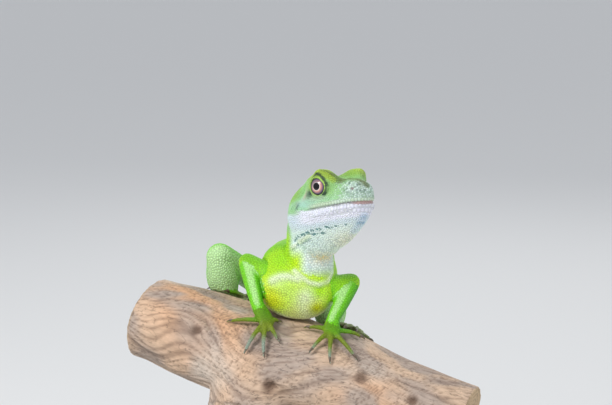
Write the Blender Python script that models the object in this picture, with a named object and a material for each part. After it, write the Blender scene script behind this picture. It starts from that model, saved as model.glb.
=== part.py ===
"""A young Chinese water dragon, life size, gripping a short cut length of branch on a plain display stand.

Named sizes are in millimetres and become metres where a mesh is made. The origin is the middle of the stand's
underside, +Z is up, the animal faces -Y and its own left is towards +X."""

import math

import bmesh
import bpy
import numpy as np

MM = 0.001
GAP = 0.3

# The head, in its own frame: u forward from the skull's back, v to its left, w up from the snout's middle
HEAD_LENGTH = 38.0
HEAD_YAW = 35.0
HEAD_PITCH = 10.0
HEAD_ROLL = 4.0
SNOUT_TIP = (21.6, -44.4, 211.6)
EYE_RADIUS = 4.3
EYE_PLACE = (21.0, 7.1, 3.5)
EYE_TURN = 20.0
LID_LENGTH = 3.15
LID_HEIGHT = 3.7
LID_THICKNESS = 0.85
LID_OUT = 2.65
LID_SIDES = 18
TYMPANUM_PLACE = (7.6, 11.8, -1.9)
TYMPANUM_RADIUS = 2.2
NOSTRIL_PLACE = (34.8, 4.5, 2.1)
NOSTRIL_RADIUS = 0.65
MOUTH_CORNER = 15.5
LIP_HALF = 0.4
LIP_DEPTH = 0.55
MOST_LIP = 0.09
MOUTH_FADE = 1.5
PLATE_PLACES = (18.8, 20.8, 22.8, 24.8, 26.8, 28.8, 30.8, 32.7, 34.4)
PLATE_LENGTH = 2.2
PLATE_HEIGHT = 2.6
PLATE_DROP = 1.9
PLATE_RISE = 0.5
PLATE_SINK = 0.8

# The trunk and tail follow one line of stations: x, y, z, half width, rise, drop and squareness
TRUNK = (
    (-3.3, -22.5, 171.4, 13.2, 9.4, 11.0, 2.2),
    (-3.3, -17.0, 171.6, 14.6, 13.2, 11.6, 2.2),
    (-3.2, -7.0, 171.6, 15.2, 15.8, 11.4, 2.2),
    (-3.0, 8.0, 170.6, 15.0, 14.8, 11.0, 2.2),
    (-3.2, 22.0, 167.6, 13.8, 12.4, 10.4, 2.2),
    (-4.2, 35.0, 163.8, 11.4, 9.6, 8.8, 2.1),
    (-5.4, 46.0, 160.8, 9.6, 8.6, 7.8, 2.0),
    (-7.0, 57.0, 158.0, 8.0, 7.8, 6.8, 2.0),
    (-9.0, 73.0, 154.0, 6.7, 7.0, 6.0, 2.0),
    (-10.0, 96.0, 146.0, 5.5, 6.0, 5.2, 2.0),
    (-8.0, 121.0, 130.0, 4.4, 5.0, 4.4, 2.0),
    (1.0, 141.0, 107.0, 3.5, 4.1, 3.6, 2.0),
    (18.0, 150.0, 82.0, 2.8, 3.3, 2.9, 2.0),
    (44.0, 147.0, 55.0, 2.2, 2.6, 2.2, 2.0),
    (72.0, 130.0, 35.0, 1.7, 1.9, 1.7, 2.0),
    (95.0, 102.0, 23.0, 1.2, 1.35, 1.2, 2.0),
    (107.0, 70.0, 17.0, 0.85, 0.9, 0.85, 2.0),
    (109.0, 38.0, 15.0, 0.45, 0.45, 0.45, 2.0),
)
BODY_ROLL = 9.0
NECK_UP = (0.0, 1.0, 0.1)
TORSO_END = 6.6
TAIL_ENDS = (9.0, 11.3, 13.8)
TRUNK_SIDES = 22
TAIL_SIDES = (16, 12, 11, 10)
NECK = (
    (0.9, -14.5, 202.5, 5.6, 5.6, 6.0, 2.0),
    (1.0, -15.5, 196.0, 8.0, 7.6, 8.6, 2.0),
    (1.2, -16.5, 188.0, 8.8, 8.4, 9.8, 2.0),
    (1.2, -16.0, 179.5, 9.8, 9.2, 10.4, 2.0),
    (0.8, -14.5, 171.0, 9.0, 8.5, 8.6, 2.0),
)

# The crest: heights at the start and end of each length, then how far its spines stand apart
CREST = {
    "neck": (1.0, 1.95, 2.3, (2.5, 2.2)),
    "torso": (2.6, 6.45, 2.7, (1.9, 1.3)),
    "tail_base": (6.75, 8.85, 3.0, (1.3, 1.2)),
    "tail_upper": (9.15, 11.15, 3.3, (1.2, 0.9)),
}
CREST_SINK = 0.7
CREST_LENGTH = 1.1
CREST_WIDTH = 0.9
CREST_LEAN = 0.45
CREST_VARIES = 0.12

# The branch: a cut length that runs across the view, its left end farther back and higher
BRANCH_MIDDLE = (0.0, -23.0, 142.7)
BRANCH_TURN = 22.0
BRANCH_SLOPE = 12.0
BRANCH_LEFT = -66.0
BRANCH_RIGHT = 64.0
BRANCH_SIZES = (
    (-66.0, 19.5, 14.8, 18.0),
    (-44.0, 23.0, 15.2, 18.0),
    (-22.0, 26.0, 16.6, 18.5),
    (0.0, 24.5, 17.0, 17.5),
    (22.0, 20.5, 15.6, 16.0),
    (44.0, 16.5, 14.0, 14.5),
    (64.0, 15.0, 13.0, 13.5),
)
STUB_START = (-18.0, -28.0, 140.0)
STUB_END = (-24.0, -42.0, 106.0)
STUB_RADII = (17.0, 15.0)

# The stand: a flat base and two rods
BASE_SIZE = (180.0, 150.0, 8.0)
BASE_CORNER = 14.0
ROD_RADIUS = 3.5
ROD_PLACES = {"stand_rod_left": (36.0, -38.0), "stand_rod_right": (-24.0, -41.0)}

# Limbs: shoulders, elbows, wrists, hips, knees and ankles, and the digits as places on the branch
LIMBS = {
    "right": {
        "shoulder": (-7.5, -21.5, 173.5),
        "elbow": (-22.2, -13.0, 180.5),
        "wrist": (-17.6, -31.0, 168.0),
        "hip": (-11.0, 34.0, 156.5),
        "knee": (-33.8, 9.0, 177.8),
        "ankle": (-31.0, 10.0, 159.0),
    },
    "left": {
        "shoulder": (4.5, -21.5, 171.5),
        "elbow": (17.2, -14.5, 173.0),
        "wrist": (9.6, -33.0, 163.0),
        "hip": (4.0, 38.0, 157.5),
        "knee": (8.8, 6.5, 163.0),
        "ankle": (9.8, -6.0, 151.5),
    },
}
UPPER_ARM_RADII = (4.6, 4.3, 3.6)
FOREARM_RADII = (3.5, 3.2, 2.5)
THIGH_RADII = (6.4, 5.6, 5.6)
SHIN_RADII = (5.1, 6.6, 3.4)

# Where each palm and the tips of its five digits rest: along the branch, and degrees round it from its crest
HANDS = {
    "hand_right": ("forearm_right", "wrist", 2.7, (-14.4, 28.0),
                   ((-11.3, 19.5), (-7.1, 41.9), (-9.0, 60.5), (-15.5, 62.3), (-26.7, 36.3))),
    "hand_left": ("forearm_left", "wrist", 2.7, (8.8, 14.0),
                  ((0.2, 14.6), (6.2, 41.6), (13.6, 45.3), (20.6, 31.4), (17.8, -3.0))),
    "foot_right": ("shin_right", "ankle", 3.0, (-35.0, -58.0),
                   ((-34.0, -34.0), (-42.0, -34.0), (-49.0, -40.0), (-53.0, -54.0), (-44.0, -82.0))),
    "foot_left": ("shin_left", "ankle", 3.0, (10.0, -52.0),
                  ((1.0, -34.0), (4.6, -24.0), (9.2, -20.0), (13.4, -22.0), (17.2, -48.0))),
}
PALM_WIDTH = 3.5
PALM_HEIGHT = 1.9
DIGIT_RADII = (1.15, 1.05, 0.92, 0.7)
DIGIT_LIFTS = (2.5, 2.3, 2.0, 1.15)
DIGIT_PLACES = (0.0, 0.4, 0.72, 1.0)
CLAW_RADII = (0.62, 0.42, 0.12)
CLAW_LENGTH = 1.8
CLAW_LIFTS = (1.15, 1.1, 0.5)


def material(name, colour, roughness, metallic=0.0):
    made = bpy.data.materials.new(name)
    made.use_nodes = True
    shader = made.node_tree.nodes["Principled BSDF"]
    shader.inputs["Base Color"].default_value = (*colour, 1.0)
    shader.inputs["Roughness"].default_value = roughness
    shader.inputs["Metallic"].default_value = metallic
    return made


def unit(vector):
    vector = np.asarray(vector, float)
    return vector / np.linalg.norm(vector)


def smooth_row(rows, t):
    """The row of numbers at station t, on a smooth curve through all the rows."""
    rows = np.asarray(rows, float)
    last = len(rows) - 1
    i = min(max(int(t), 0), last - 1)
    f = t - i
    before = rows[i - 1] if i else 2 * rows[0] - rows[1]
    after = rows[i + 2] if i + 2 <= last else 2 * rows[last] - rows[last - 1]
    here, then = rows[i], rows[i + 1]
    pull = -before + then
    swing = 2 * before - 5 * here + 4 * then - after
    twist = -before + 3 * here - 3 * then + after
    return 0.5 * (2 * here + pull * f + swing * f * f + twist * f**3)


def key_value(keys, x):
    """A smooth value at x through (place, value) keys."""
    places = [key[0] for key in keys]
    if x <= places[0]:
        return keys[0][1]
    if x >= places[-1]:
        return keys[-1][1]
    i = next(n for n in range(len(places) - 1) if places[n + 1] >= x)
    t = i + (x - places[i]) / (places[i + 1] - places[i])
    return float(smooth_row([[key[1]] for key in keys], t)[0])


def section(centre, right, up, width, rise, drop, power, sides):
    """One closed ring: an oval whose corners fill out as power goes over 2."""
    turn = np.arange(sides) * 2 * math.pi / sides
    c, s = np.cos(turn), np.sin(turn)
    across = width * np.sign(c) * np.abs(c) ** (2 / power)
    high = np.where(s > 0, rise, drop) * np.sign(s) * np.abs(s) ** (2 / power)
    return centre + across[:, None] * right + high[:, None] * up


def solid(name, points, faces, finish):
    """A closed mesh object from points in millimetres, its faces turned outwards."""
    mesh = bpy.data.meshes.new(name)
    mesh.from_pydata([tuple(point) for point in np.asarray(points) * MM], [], faces)
    work = bmesh.new()
    work.from_mesh(mesh)
    bmesh.ops.recalc_face_normals(work, faces=work.faces)
    work.to_mesh(mesh)
    work.free()
    mesh.materials.append(finish)
    mesh.shade_smooth()
    made = bpy.data.objects.new(name, mesh)
    bpy.context.scene.collection.objects.link(made)
    return made


def loft(name, rings, finish):
    """Rings of equal count joined in order, each end closed on its own middle."""
    rings = np.asarray(rings)
    count, sides = rings.shape[:2]
    points = list(rings.reshape(-1, 3))
    faces = []
    for r in range(count - 1):
        for k in range(sides):
            j = (k + 1) % sides
            faces.append((r * sides + k, r * sides + j, (r + 1) * sides + j, (r + 1) * sides + k))
    for r, turn in ((0, -1), (count - 1, 1)):
        points.append(rings[r].mean(axis=0))
        for k in range(sides):
            corner = (r * sides + k, r * sides + (k + 1) % sides, len(points) - 1)
            faces.append(corner[::turn])
    return solid(name, points, faces, finish)


def line_frames(stations, places, up):
    """Centre, forward, right and up at each place along a line, with up carried along it without a twist."""
    frames = []
    for t in places:
        row = smooth_row(stations, t)
        ahead = smooth_row(stations, t + 0.02)[:3] - smooth_row(stations, t - 0.02)[:3]
        forward = unit(ahead)
        up = unit(up - forward * np.dot(up, forward))
        frames.append((row, forward, np.cross(forward, up), up))
    return frames


FINE_DOME = (80.0, 55.0, 28.0)
SMALL_DOME = (62.0,)
FINE_SIDES = 10


def dome_rings(frame, sides, depth, outward):
    """The rings of a round end, from its tip to the full section."""
    row, forward, right, up = frame
    rings = []
    for angle in FINE_DOME if sides > FINE_SIDES else SMALL_DOME:
        shrink, reach = math.cos(math.radians(angle)), math.sin(math.radians(angle))
        centre = row[:3] + forward * outward * depth * reach
        rings.append(section(centre, right, up, *(row[3:6] * shrink), row[6], sides))
    return rings


def tube(name, stations, start, end, step, up, sides, finish, round_start=0.0, round_end=0.0):
    """A tube along stations from start to end, with a round end where a depth is given."""
    count = max(2, int(round((end - start) / step)) + 1)
    frames = line_frames(stations, np.linspace(start, end, count), np.asarray(up, float))
    rings = [section(f[0][:3], f[2], f[3], *f[0][3:6], f[0][6], sides) for f in frames]
    if round_start:
        rings = dome_rings(frames[0], sides, round_start, -1) + rings
    if round_end:
        rings = rings + dome_rings(frames[-1], sides, round_end, 1)[::-1]
    return loft(name, rings, finish)


def boolean(target, others, operation):
    """Joins or cuts target with all the others in one step, then removes them."""
    group = bpy.data.collections.new("joined")
    bpy.context.scene.collection.children.link(group)
    for other in others:
        group.objects.link(other)
    step = target.modifiers.new("joined", "BOOLEAN")
    step.operation = operation
    step.operand_type = "COLLECTION"
    step.collection = group
    step.solver = "EXACT"
    graph = bpy.context.evaluated_depsgraph_get()
    made = bpy.data.meshes.new_from_object(target.evaluated_get(graph))
    target.modifiers.clear()
    target.data = made
    for other in others:
        bpy.data.objects.remove(other)
    bpy.data.collections.remove(group)
    keep_largest(target)


def keep_largest(target):
    """Drops loose scraps: only the largest closed surface stays."""
    work = bmesh.new()
    work.from_mesh(target.data)
    bmesh.ops.remove_doubles(work, verts=work.verts, dist=1e-7)
    unseen = set(work.faces)
    shells = []
    while unseen:
        shell, edge = [], [unseen.pop()]
        while edge:
            face = edge.pop()
            shell.append(face)
            for line in face.edges:
                for near in line.link_faces:
                    if near in unseen:
                        unseen.remove(near)
                        edge.append(near)
        shells.append(shell)
    largest = max(shells, key=lambda shell: sum(face.calc_area() for face in shell))
    spare = [face for shell in shells if shell is not largest for face in shell]
    bmesh.ops.delete(work, geom=spare, context="FACES")
    bmesh.ops.triangulate(work, faces=work.faces)
    work.to_mesh(target.data)
    work.free()


def grown(source, by=GAP):
    """A copy whose every point is pushed out by the gap, to cut a neighbour with."""
    made = source.copy()
    made.data = source.data.copy()
    bpy.context.scene.collection.objects.link(made)
    normals = [point.normal.copy() for point in made.data.vertices]
    for point, normal in zip(made.data.vertices, normals):
        point.co += normal * by * MM
    return made


def meet(child, *parents):
    """Cuts child so that it ends a gap away from each parent's surface."""
    boolean(child, [grown(parent) for parent in parents], "DIFFERENCE")


def turned_frame(yaw, pitch, roll):
    """Forward, left and up of a head that looks along -Y, turned to its left, raised and leaned."""
    yaw, pitch, roll = (math.radians(angle) for angle in (yaw, pitch, roll))
    forward = np.array((math.sin(yaw) * math.cos(pitch), -math.cos(yaw) * math.cos(pitch), math.sin(pitch)))
    left = unit(np.cross((0, 0, 1), forward))
    up = np.cross(forward, left)
    left, up = left * math.cos(roll) - up * math.sin(roll), up * math.cos(roll) + left * math.sin(roll)
    return forward, left, up


HEAD_AXES = np.array(turned_frame(HEAD_YAW, HEAD_PITCH, HEAD_ROLL))
HEAD_ORIGIN = np.array(SNOUT_TIP) - HEAD_LENGTH * HEAD_AXES[0]

HALF_WIDTH = (
    (-6.0, 3.5), (-3.0, 6.0), (0.0, 8.2), (4.0, 10.7), (8.0, 12.0), (12.0, 11.7), (16.0, 10.9),
    (20.0, 10.2), (24.0, 9.2), (28.0, 7.6), (32.0, 6.2), (35.0, 5.4), (38.0, 4.7),
)
CROWN = (
    (-6.0, -1.5), (-3.0, 1.4), (0.0, 3.8), (4.0, 5.8), (8.0, 7.7), (12.0, 8.6), (16.0, 8.4),
    (20.0, 7.9), (24.0, 7.1), (28.0, 6.3), (32.0, 5.4), (35.0, 4.7), (38.0, 3.9),
)
THROAT = (
    (-6.0, -11.0), (-3.0, -17.0), (0.0, -20.5), (4.0, -22.8), (8.0, -23.4), (13.0, -22.0), (16.0, -20.4),
    (20.0, -19.0), (24.0, -17.2), (28.0, -14.9), (32.0, -11.8), (35.0, -9.0), (38.0, -6.0),
)
MOUTH_LINE = ((-6.0, -4.0), (4.0, -4.4), (15.5, -4.8), (21.0, -4.2), (27.0, -3.5), (32.0, -2.9), (38.0, -2.6))
CHEEK_SQUARENESS = (
    (-6.0, 2.0), (4.0, 2.0), (8.0, 2.2), (12.0, 2.9), (16.0, 3.7), (23.0, 3.7), (28.0, 3.2), (38.0, 2.4),
)
THROAT_SQUARENESS = ((-6.0, 2.0), (4.0, 1.9), (10.0, 1.75), (20.0, 1.6), (30.0, 1.7), (38.0, 2.2))
BLUNT_START = 32.5
BLUNTNESS = 2.5
# Rounded forms on the head: middle, spread along u, v, w, and how far they push along v and w
HEAD_FORMS = (
    ((24.0, 7.9, 7.6), (5.6, 2.9, 3.2), (3.3, 4.7)),
    ((28.5, 6.8, 2.4), (3.4, 2.4, 2.8), (-1.2, 0.0)),
    ((21.5, 0.0, 9.6), (9.0, 3.6, 4.5), (0.0, -2.2)),
    ((12.5, 3.2, 8.8), (5.0, 4.0, 4.0), (0.0, -1.3)),
    ((10.4, 11.0, 2.0), (4.6, 4.0, 4.4), (-2.0, -0.3)),
    ((4.0, 10.5, -8.5), (4.0, 4.0, 4.5), (1.2, 0.0)),
    ((34.8, 4.5, 2.4), (2.0, 1.8, 1.8), (0.45, 0.25)),
)
UPPER_TURNS = (90, 80, 70, 60, 51, 42, 34, 26, 18, 11, 5.5)
LOWER_TURNS = (10, 20, 31, 43, 56, 70, 90)


def head_profile(u):
    """Half width, crown, mouth and throat heights at u, all drawn in to the blunt tip of the snout."""
    blunt = 1.0
    if u > BLUNT_START:
        along = (u - BLUNT_START) / (HEAD_LENGTH - BLUNT_START)
        blunt = max(0.0, 1 - along**BLUNTNESS) ** (1 / BLUNTNESS)
    end = MOUTH_LINE[-1][1]
    crown, mouth, throat = (end + (key_value(keys, u) - end) * blunt for keys in (CROWN, MOUTH_LINE, THROAT))
    return key_value(HALF_WIDTH, u) * blunt, crown, mouth, throat, blunt


def head_point(u, turn=0.0, offset=0.0):
    """A point of one side of the head in its own frame. turn goes from 90 at the crown through 0 at the mouth
    line to -90 at the throat, or offset gives the height over the mouth line instead."""
    width, crown, mouth, throat, blunt = head_profile(u)
    upper = turn > 0 or offset > 0
    power = key_value(CHEEK_SQUARENESS if upper else THROAT_SQUARENESS, u)
    height = crown - mouth if upper else mouth - throat
    if offset:
        turn = math.degrees(math.asin(min(1.0, abs(offset) / height) ** (power / 2)))
    c, s = math.cos(math.radians(turn)), math.sin(math.radians(abs(turn)))
    v = width * abs(c) ** (2 / power)
    w = mouth + (1 if upper else -1) * height * s ** (2 / power)
    for (fu, fv, fw), (ru, rv, rw), (push_v, push_w) in HEAD_FORMS:
        near = math.exp(-(((u - fu) / ru) ** 2 + ((v - fv) / rv) ** 2 + ((w - fw) / rw) ** 2))
        v += push_v * near * blunt
        w += push_w * near * blunt
    return np.array((u, v, w))


def head_ring(u):
    """One ring of the head: down its left side from the crown to the throat and up its right side."""
    _, crown, mouth, throat, blunt = head_profile(u)
    side = [head_point(u, turn) for turn in UPPER_TURNS]
    groove = head_point(u)
    opened = min(1.0, max(0.0, (u - MOUTH_CORNER) / MOUTH_FADE))
    groove[1] = max(0.0, groove[1] - LIP_DEPTH * opened * blunt)
    side.append(head_point(u, offset=min(LIP_HALF, MOST_LIP * (crown - mouth))))
    side.append(groove)
    side.append(head_point(u, offset=-min(LIP_HALF, MOST_LIP * (mouth - throat))))
    side += [head_point(u, -turn) for turn in LOWER_TURNS]
    side[0][1] = side[-1][1] = 0.0
    across = [point * (1, -1, 1) for point in side[-2:0:-1]]
    return in_row(side + across)


def lip_plates(finish):
    """The large pale plates along both lower lips, low domes whose roots are sunk in."""
    plates = []
    for side in (-1, 1):
        for u in PLATE_PLACES:
            middle = head_point(u, offset=-PLATE_DROP)
            ahead = unit(head_point(u + 0.5, offset=-PLATE_DROP) - head_point(u - 0.5, offset=-PLATE_DROP))
            upward = unit(head_point(u, offset=-PLATE_DROP + 0.4) - head_point(u, offset=-PLATE_DROP - 0.4))
            out = unit(np.cross(ahead, upward))
            out *= math.copysign(1.0, out[1])
            rings = []
            for lift, size in ((-PLATE_SINK, 1.0), (0.1, 1.0), (PLATE_RISE, 0.66)):
                ring = []
                for k in range(6):
                    turn = 2 * math.pi * (k + 0.5) / 6
                    spot = ahead * math.cos(turn) * PLATE_LENGTH / 2
                    spot = spot + upward * math.sin(turn) * PLATE_HEIGHT / 2
                    ring.append((middle + spot * size + out * lift) * (1, side, 1))
                rings.append(in_row(ring))
            plates.append(loft("plate", rings, finish))
    return plates


def in_row(local):
    """Points of the head's own frame in the row's frame."""
    return HEAD_ORIGIN + np.asarray(local, float) @ HEAD_AXES


def ball(name, centre, radius, finish, rings=10, sides=16, stretch=(1.0, 1.0, 1.0)):
    """A closed ball, or an egg where stretched, lined up with the head's own frame."""
    points, faces = [], []
    for r in range(1, rings):
        polar = math.pi * r / rings
        for k in range(sides):
            turn = 2 * math.pi * k / sides
            spot = (math.sin(polar) * math.cos(turn), math.cos(polar), math.sin(polar) * math.sin(turn))
            points.append(np.array(spot) * stretch * radius)
    for r in range(rings - 2):
        for k in range(sides):
            j = (k + 1) % sides
            faces.append((r * sides + k, r * sides + j, (r + 1) * sides + j, (r + 1) * sides + k))
    for r, pole in ((0, 1.0), (rings - 2, -1.0)):
        points.append(np.array((0.0, pole * stretch[1] * radius, 0.0)))
        for k in range(sides):
            faces.append((r * sides + k, r * sides + (k + 1) % sides, len(points) - 1))
    return solid(name, np.asarray(centre) + np.array(points) @ HEAD_AXES, faces, finish)


def lid_ring(name, side, finish):
    """The raised ring of both lids round one eye, turned a little forward with it."""
    turn = math.radians(EYE_TURN)
    out = np.array((math.sin(turn), side * math.cos(turn), 0.0))
    ahead = np.array((math.cos(turn), -side * math.sin(turn), 0.0))
    middle = np.array(mirrored(EYE_PLACE, side)) + out * LID_OUT
    rings = []
    for k in range(LID_SIDES):
        angle = 2 * math.pi * k / LID_SIDES
        reach = LID_LENGTH * math.cos(angle) ** 2 + LID_HEIGHT * math.sin(angle) ** 2
        across = ahead * math.cos(angle) + np.array((0.0, 0.0, math.sin(angle)))
        ring = []
        for j in range(6):
            roll = 2 * math.pi * j / 6
            thick = (across * math.cos(roll) + out * math.sin(roll)) * LID_THICKNESS
            ring.append(middle + across * reach + thick)
        rings.append(in_row(ring))
    points = np.array(rings).reshape(-1, 3)
    faces = []
    for k in range(LID_SIDES):
        for j in range(6):
            here, then = k * 6, (k + 1) % LID_SIDES * 6
            faces.append((here + j, here + (j + 1) % 6, then + (j + 1) % 6, then + j))
    return solid(name, points, faces, finish)


def mirrored(place, side):
    return place[0], place[1] * side, place[2]


def make_head(finish, iris):
    """The head, with sockets, lids, nostrils, ear cups and mouth line, and its two eyes."""
    places = [-6, -5, -3.5, -2, 0, 2, 4, 5.5, 7, 8.5, 10, 11.5, 13, 14.2, 15.4, 16.6, 17.8, 19, 20.2, 21.4]
    places += [22.8, 24.2, 25.8, 27.4, 29, 30.5, 32, 33.2, 34.3, 35.3, 36.2, 36.9, 37.4, 37.75, 37.95]
    head = loft("head", [head_ring(u) for u in places], finish)
    lids = [lid_ring("lids", side, finish) for side in (-1, 1)]
    boolean(head, lids + lip_plates(finish), "UNION")
    cutters = []
    for side in (-1, 1):
        cutters.append(ball("socket", in_row(mirrored(EYE_PLACE, side)), EYE_RADIUS + GAP, finish, 10, 18))
        cutters.append(ball("nostril", in_row(mirrored(NOSTRIL_PLACE, side)), NOSTRIL_RADIUS, finish, 4, 6))
        place = in_row(mirrored(TYMPANUM_PLACE, side))
        cutters.append(ball("ear", place, TYMPANUM_RADIUS, finish, 6, 10, (1.0, 0.55, 1.2)))
    boolean(head, cutters, "DIFFERENCE")
    eyes = []
    for name, side in (("eye_right", -1), ("eye_left", 1)):
        eyes.append(ball(name, in_row(mirrored(EYE_PLACE, side)), EYE_RADIUS, iris, 10, 14))
    return head, eyes


def branch_axes():
    turn, slope = math.radians(BRANCH_TURN), math.radians(BRANCH_SLOPE)
    along = np.array((math.cos(turn) * math.cos(slope), -math.sin(turn) * math.cos(slope), -math.sin(slope)))
    front = np.array((-math.sin(turn), -math.cos(turn), 0.0))
    return along, front, np.cross(front, along)


def branch_point(s, around, lift=0.0):
    """A point s along the branch and around degrees from its crest towards the front, lifted off the bark."""
    along, front, up = branch_axes()
    width, rise, drop = (key_value([(row[0], row[n]) for row in BRANCH_SIZES], s) for n in (1, 2, 3))
    c, f = math.cos(math.radians(around)), math.sin(math.radians(around))
    high = rise if c > 0 else drop
    swell = 1.0 + 0.025 * math.sin(s / 9.0 + 2 * math.radians(around)) + 0.02 * math.sin(s / 5.0 - 1.3)
    flat = front * width * swell * f + up * high * swell * c
    out = unit(front * f / width + up * c / high)
    return np.array(BRANCH_MIDDLE) + along * s + flat + out * lift


def make_branch(finish):
    """The cut length of branch with the stub of its fork."""
    rings = []
    for s in np.linspace(BRANCH_LEFT, BRANCH_RIGHT, 23):
        rings.append([branch_point(s, around) for around in np.arange(20) * 18.0])
    branch = loft("perch_branch", rings, finish)
    stub_line = [(*STUB_START, STUB_RADII[0], STUB_RADII[0], STUB_RADII[0], 2.0)]
    stub_line.append((*STUB_END, STUB_RADII[1], STUB_RADII[1], STUB_RADII[1], 2.0))
    stub = tube("stub", stub_line, 0.0, 1.0, 0.2, (1.0, 0.0, 0.0), 20, finish)
    boolean(branch, [stub], "UNION")
    return branch


def make_stand(branch, plate, steel):
    """The base plate, its edges rounded, and two rods that reach up to the branch."""
    width, depth, thick = BASE_SIZE
    outline = []
    for corner in range(4):
        middle_x = (width / 2 - BASE_CORNER) * (1 if corner in (0, 3) else -1)
        middle_y = (depth / 2 - BASE_CORNER) * (1 if corner in (0, 1) else -1)
        for step in range(7):
            turn = math.radians(corner * 90 + step * 15)
            outline.append((middle_x + BASE_CORNER * math.cos(turn), middle_y + BASE_CORNER * math.sin(turn)))
    rings = []
    for height, inset in ((0.0, 0.8), (0.8, 0.0), (thick - 1.2, 0.0), (thick, 1.2)):
        shrink = np.array((1 - 2 * inset / width, 1 - 2 * inset / depth))
        rings.append([(*(np.array(spot) * shrink), height) for spot in outline])
    loft("stand_base", rings, plate)
    for name, (x, y) in ROD_PLACES.items():
        line = [(x, y, thick + GAP, ROD_RADIUS, ROD_RADIUS, ROD_RADIUS, 2.0)]
        line.append((x, y, BRANCH_MIDDLE[2], ROD_RADIUS, ROD_RADIUS, ROD_RADIUS, 2.0))
        rod = tube(name, line, 0.0, 1.0, 1.0, (1.0, 0.0, 0.0), 20, steel)
        meet(rod, branch)


def neck_frames(places):
    return line_frames(NECK, places, np.array(NECK_UP))


def lean_up():
    roll = math.radians(BODY_ROLL)
    return np.array((math.sin(roll), 0.0, math.cos(roll)))


def trunk_frames(places):
    """Frames along the trunk and tail, carried from the chest so that every length agrees."""
    fine = np.arange(0.0, len(TRUNK) - 1 + 0.001, 0.1)
    frames = line_frames(TRUNK, fine, lean_up())
    chosen = []
    for t in places:
        near = frames[int(round(t * 10))]
        row = smooth_row(TRUNK, t)
        ahead = unit(smooth_row(TRUNK, t + 0.02)[:3] - smooth_row(TRUNK, t - 0.02)[:3])
        up = unit(near[3] - ahead * np.dot(near[3], ahead))
        chosen.append((row, ahead, np.cross(ahead, up), up))
    return chosen


def trunk_length(name, start, end, step, sides, finish, round_start=0.0, round_end=0.0):
    """One length of the trunk or tail between two stations, its flat ends half a gap short."""
    count = max(3, int(round((end - start) / step)) + 1)
    frames = trunk_frames(np.linspace(start, end, count))
    rings = [section(f[0][:3], f[2], f[3], *f[0][3:6], f[0][6], sides) for f in frames]
    if round_start:
        rings = dome_rings(frames[0], sides, round_start, -1) + rings
    else:
        rings[0] = rings[0] + frames[0][1] * GAP / 2
    if round_end:
        rings = rings + dome_rings(frames[-1], sides, round_end, 1)[::-1]
    else:
        rings[-1] = rings[-1] - frames[-1][1] * GAP / 2
    return loft(name, rings, finish)


def make_trunk(finish):
    torso = trunk_length("torso", 0.0, TORSO_END, 0.4, TRUNK_SIDES, finish, round_start=6.5)
    names = ("tail_base", "tail_upper", "tail_lower", "tail_tip")
    ends = (TORSO_END, *TAIL_ENDS, len(TRUNK) - 1.0)
    tails = []
    for n, name in enumerate(names):
        last = 0.5 if n == len(names) - 1 else 0.0
        tails.append(trunk_length(name, ends[n], ends[n + 1], 0.25, TAIL_SIDES[n], finish, round_end=last))
    return torso, tails


def crest_spine(root, forward, up, height, finish):
    """One spine of the crest: a thin point that leans back, its root sunk in."""
    side = np.cross(forward, up)
    base = root - up * CREST_SINK
    reach = forward * height * CREST_LENGTH / 2
    points = [base + reach, base + side * CREST_WIDTH / 2, base - reach, base - side * CREST_WIDTH / 2]
    points.append(root + up * height - forward * height * CREST_LEAN)
    faces = [(0, 1, 2, 3), (0, 4, 1), (1, 4, 2), (2, 4, 3), (3, 4, 0)]
    return solid("spine", points, faces, finish)


def add_crest(target, frames_at, start, end, spacing, heights, finish):
    """Sets spines evenly along the ridge between two stations, from the first height to the last."""
    fine = np.linspace(start, end, 120)
    ridge = [frame[0][:3] + frame[3] * frame[0][4] for frame in frames_at(fine)]
    steps = np.linalg.norm(np.diff(ridge, axis=0), axis=1)
    along = np.concatenate(([0.0], np.cumsum(steps)))
    count = int(along[-1] / spacing) + 1
    places = np.interp(np.linspace(spacing / 2, along[-1] - spacing / 2, count), along, fine)
    spines = []
    for n, (row, forward, _, up) in enumerate(frames_at(places)):
        part_way = n / max(1, count - 1)
        height = heights[0] + (heights[1] - heights[0]) * part_way
        height *= 1.0 + CREST_VARIES * math.sin(2.4 * n)
        spines.append(crest_spine(row[:3] + up * row[4], -forward, up, height, finish))
    boolean(target, spines, "UNION")


def limb_tube(name, start, end, radii, finish, sides=14):
    """A round-ended length of limb, thick, thicker and thin along its way."""
    start, end = np.array(start), np.array(end)
    middle = (start + end) / 2
    line = [(*spot, radius, radius, radius, 2.0) for spot, radius in zip((start, middle, end), radii)]
    up = np.array((0.0, 0.0, 1.0)) if abs(unit(end - start)[2]) < 0.8 else np.array((0.0, -1.0, 0.0))
    return tube(name, line, 0.0, 2.0, 0.33, up, sides, finish, radii[0] * 0.9, radii[2] * 0.9)


def branch_line(start, end, places, lifts, radii):
    """Stations of a digit that runs over the bark from one place on the branch to another."""
    line = []
    for place, lift, radius in zip(places, lifts, radii):
        s, around = (a + (b - a) * place for a, b in zip(start, end))
        line.append((*branch_point(s, around, lift), radius, radius, radius, 2.0))
    return line


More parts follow.
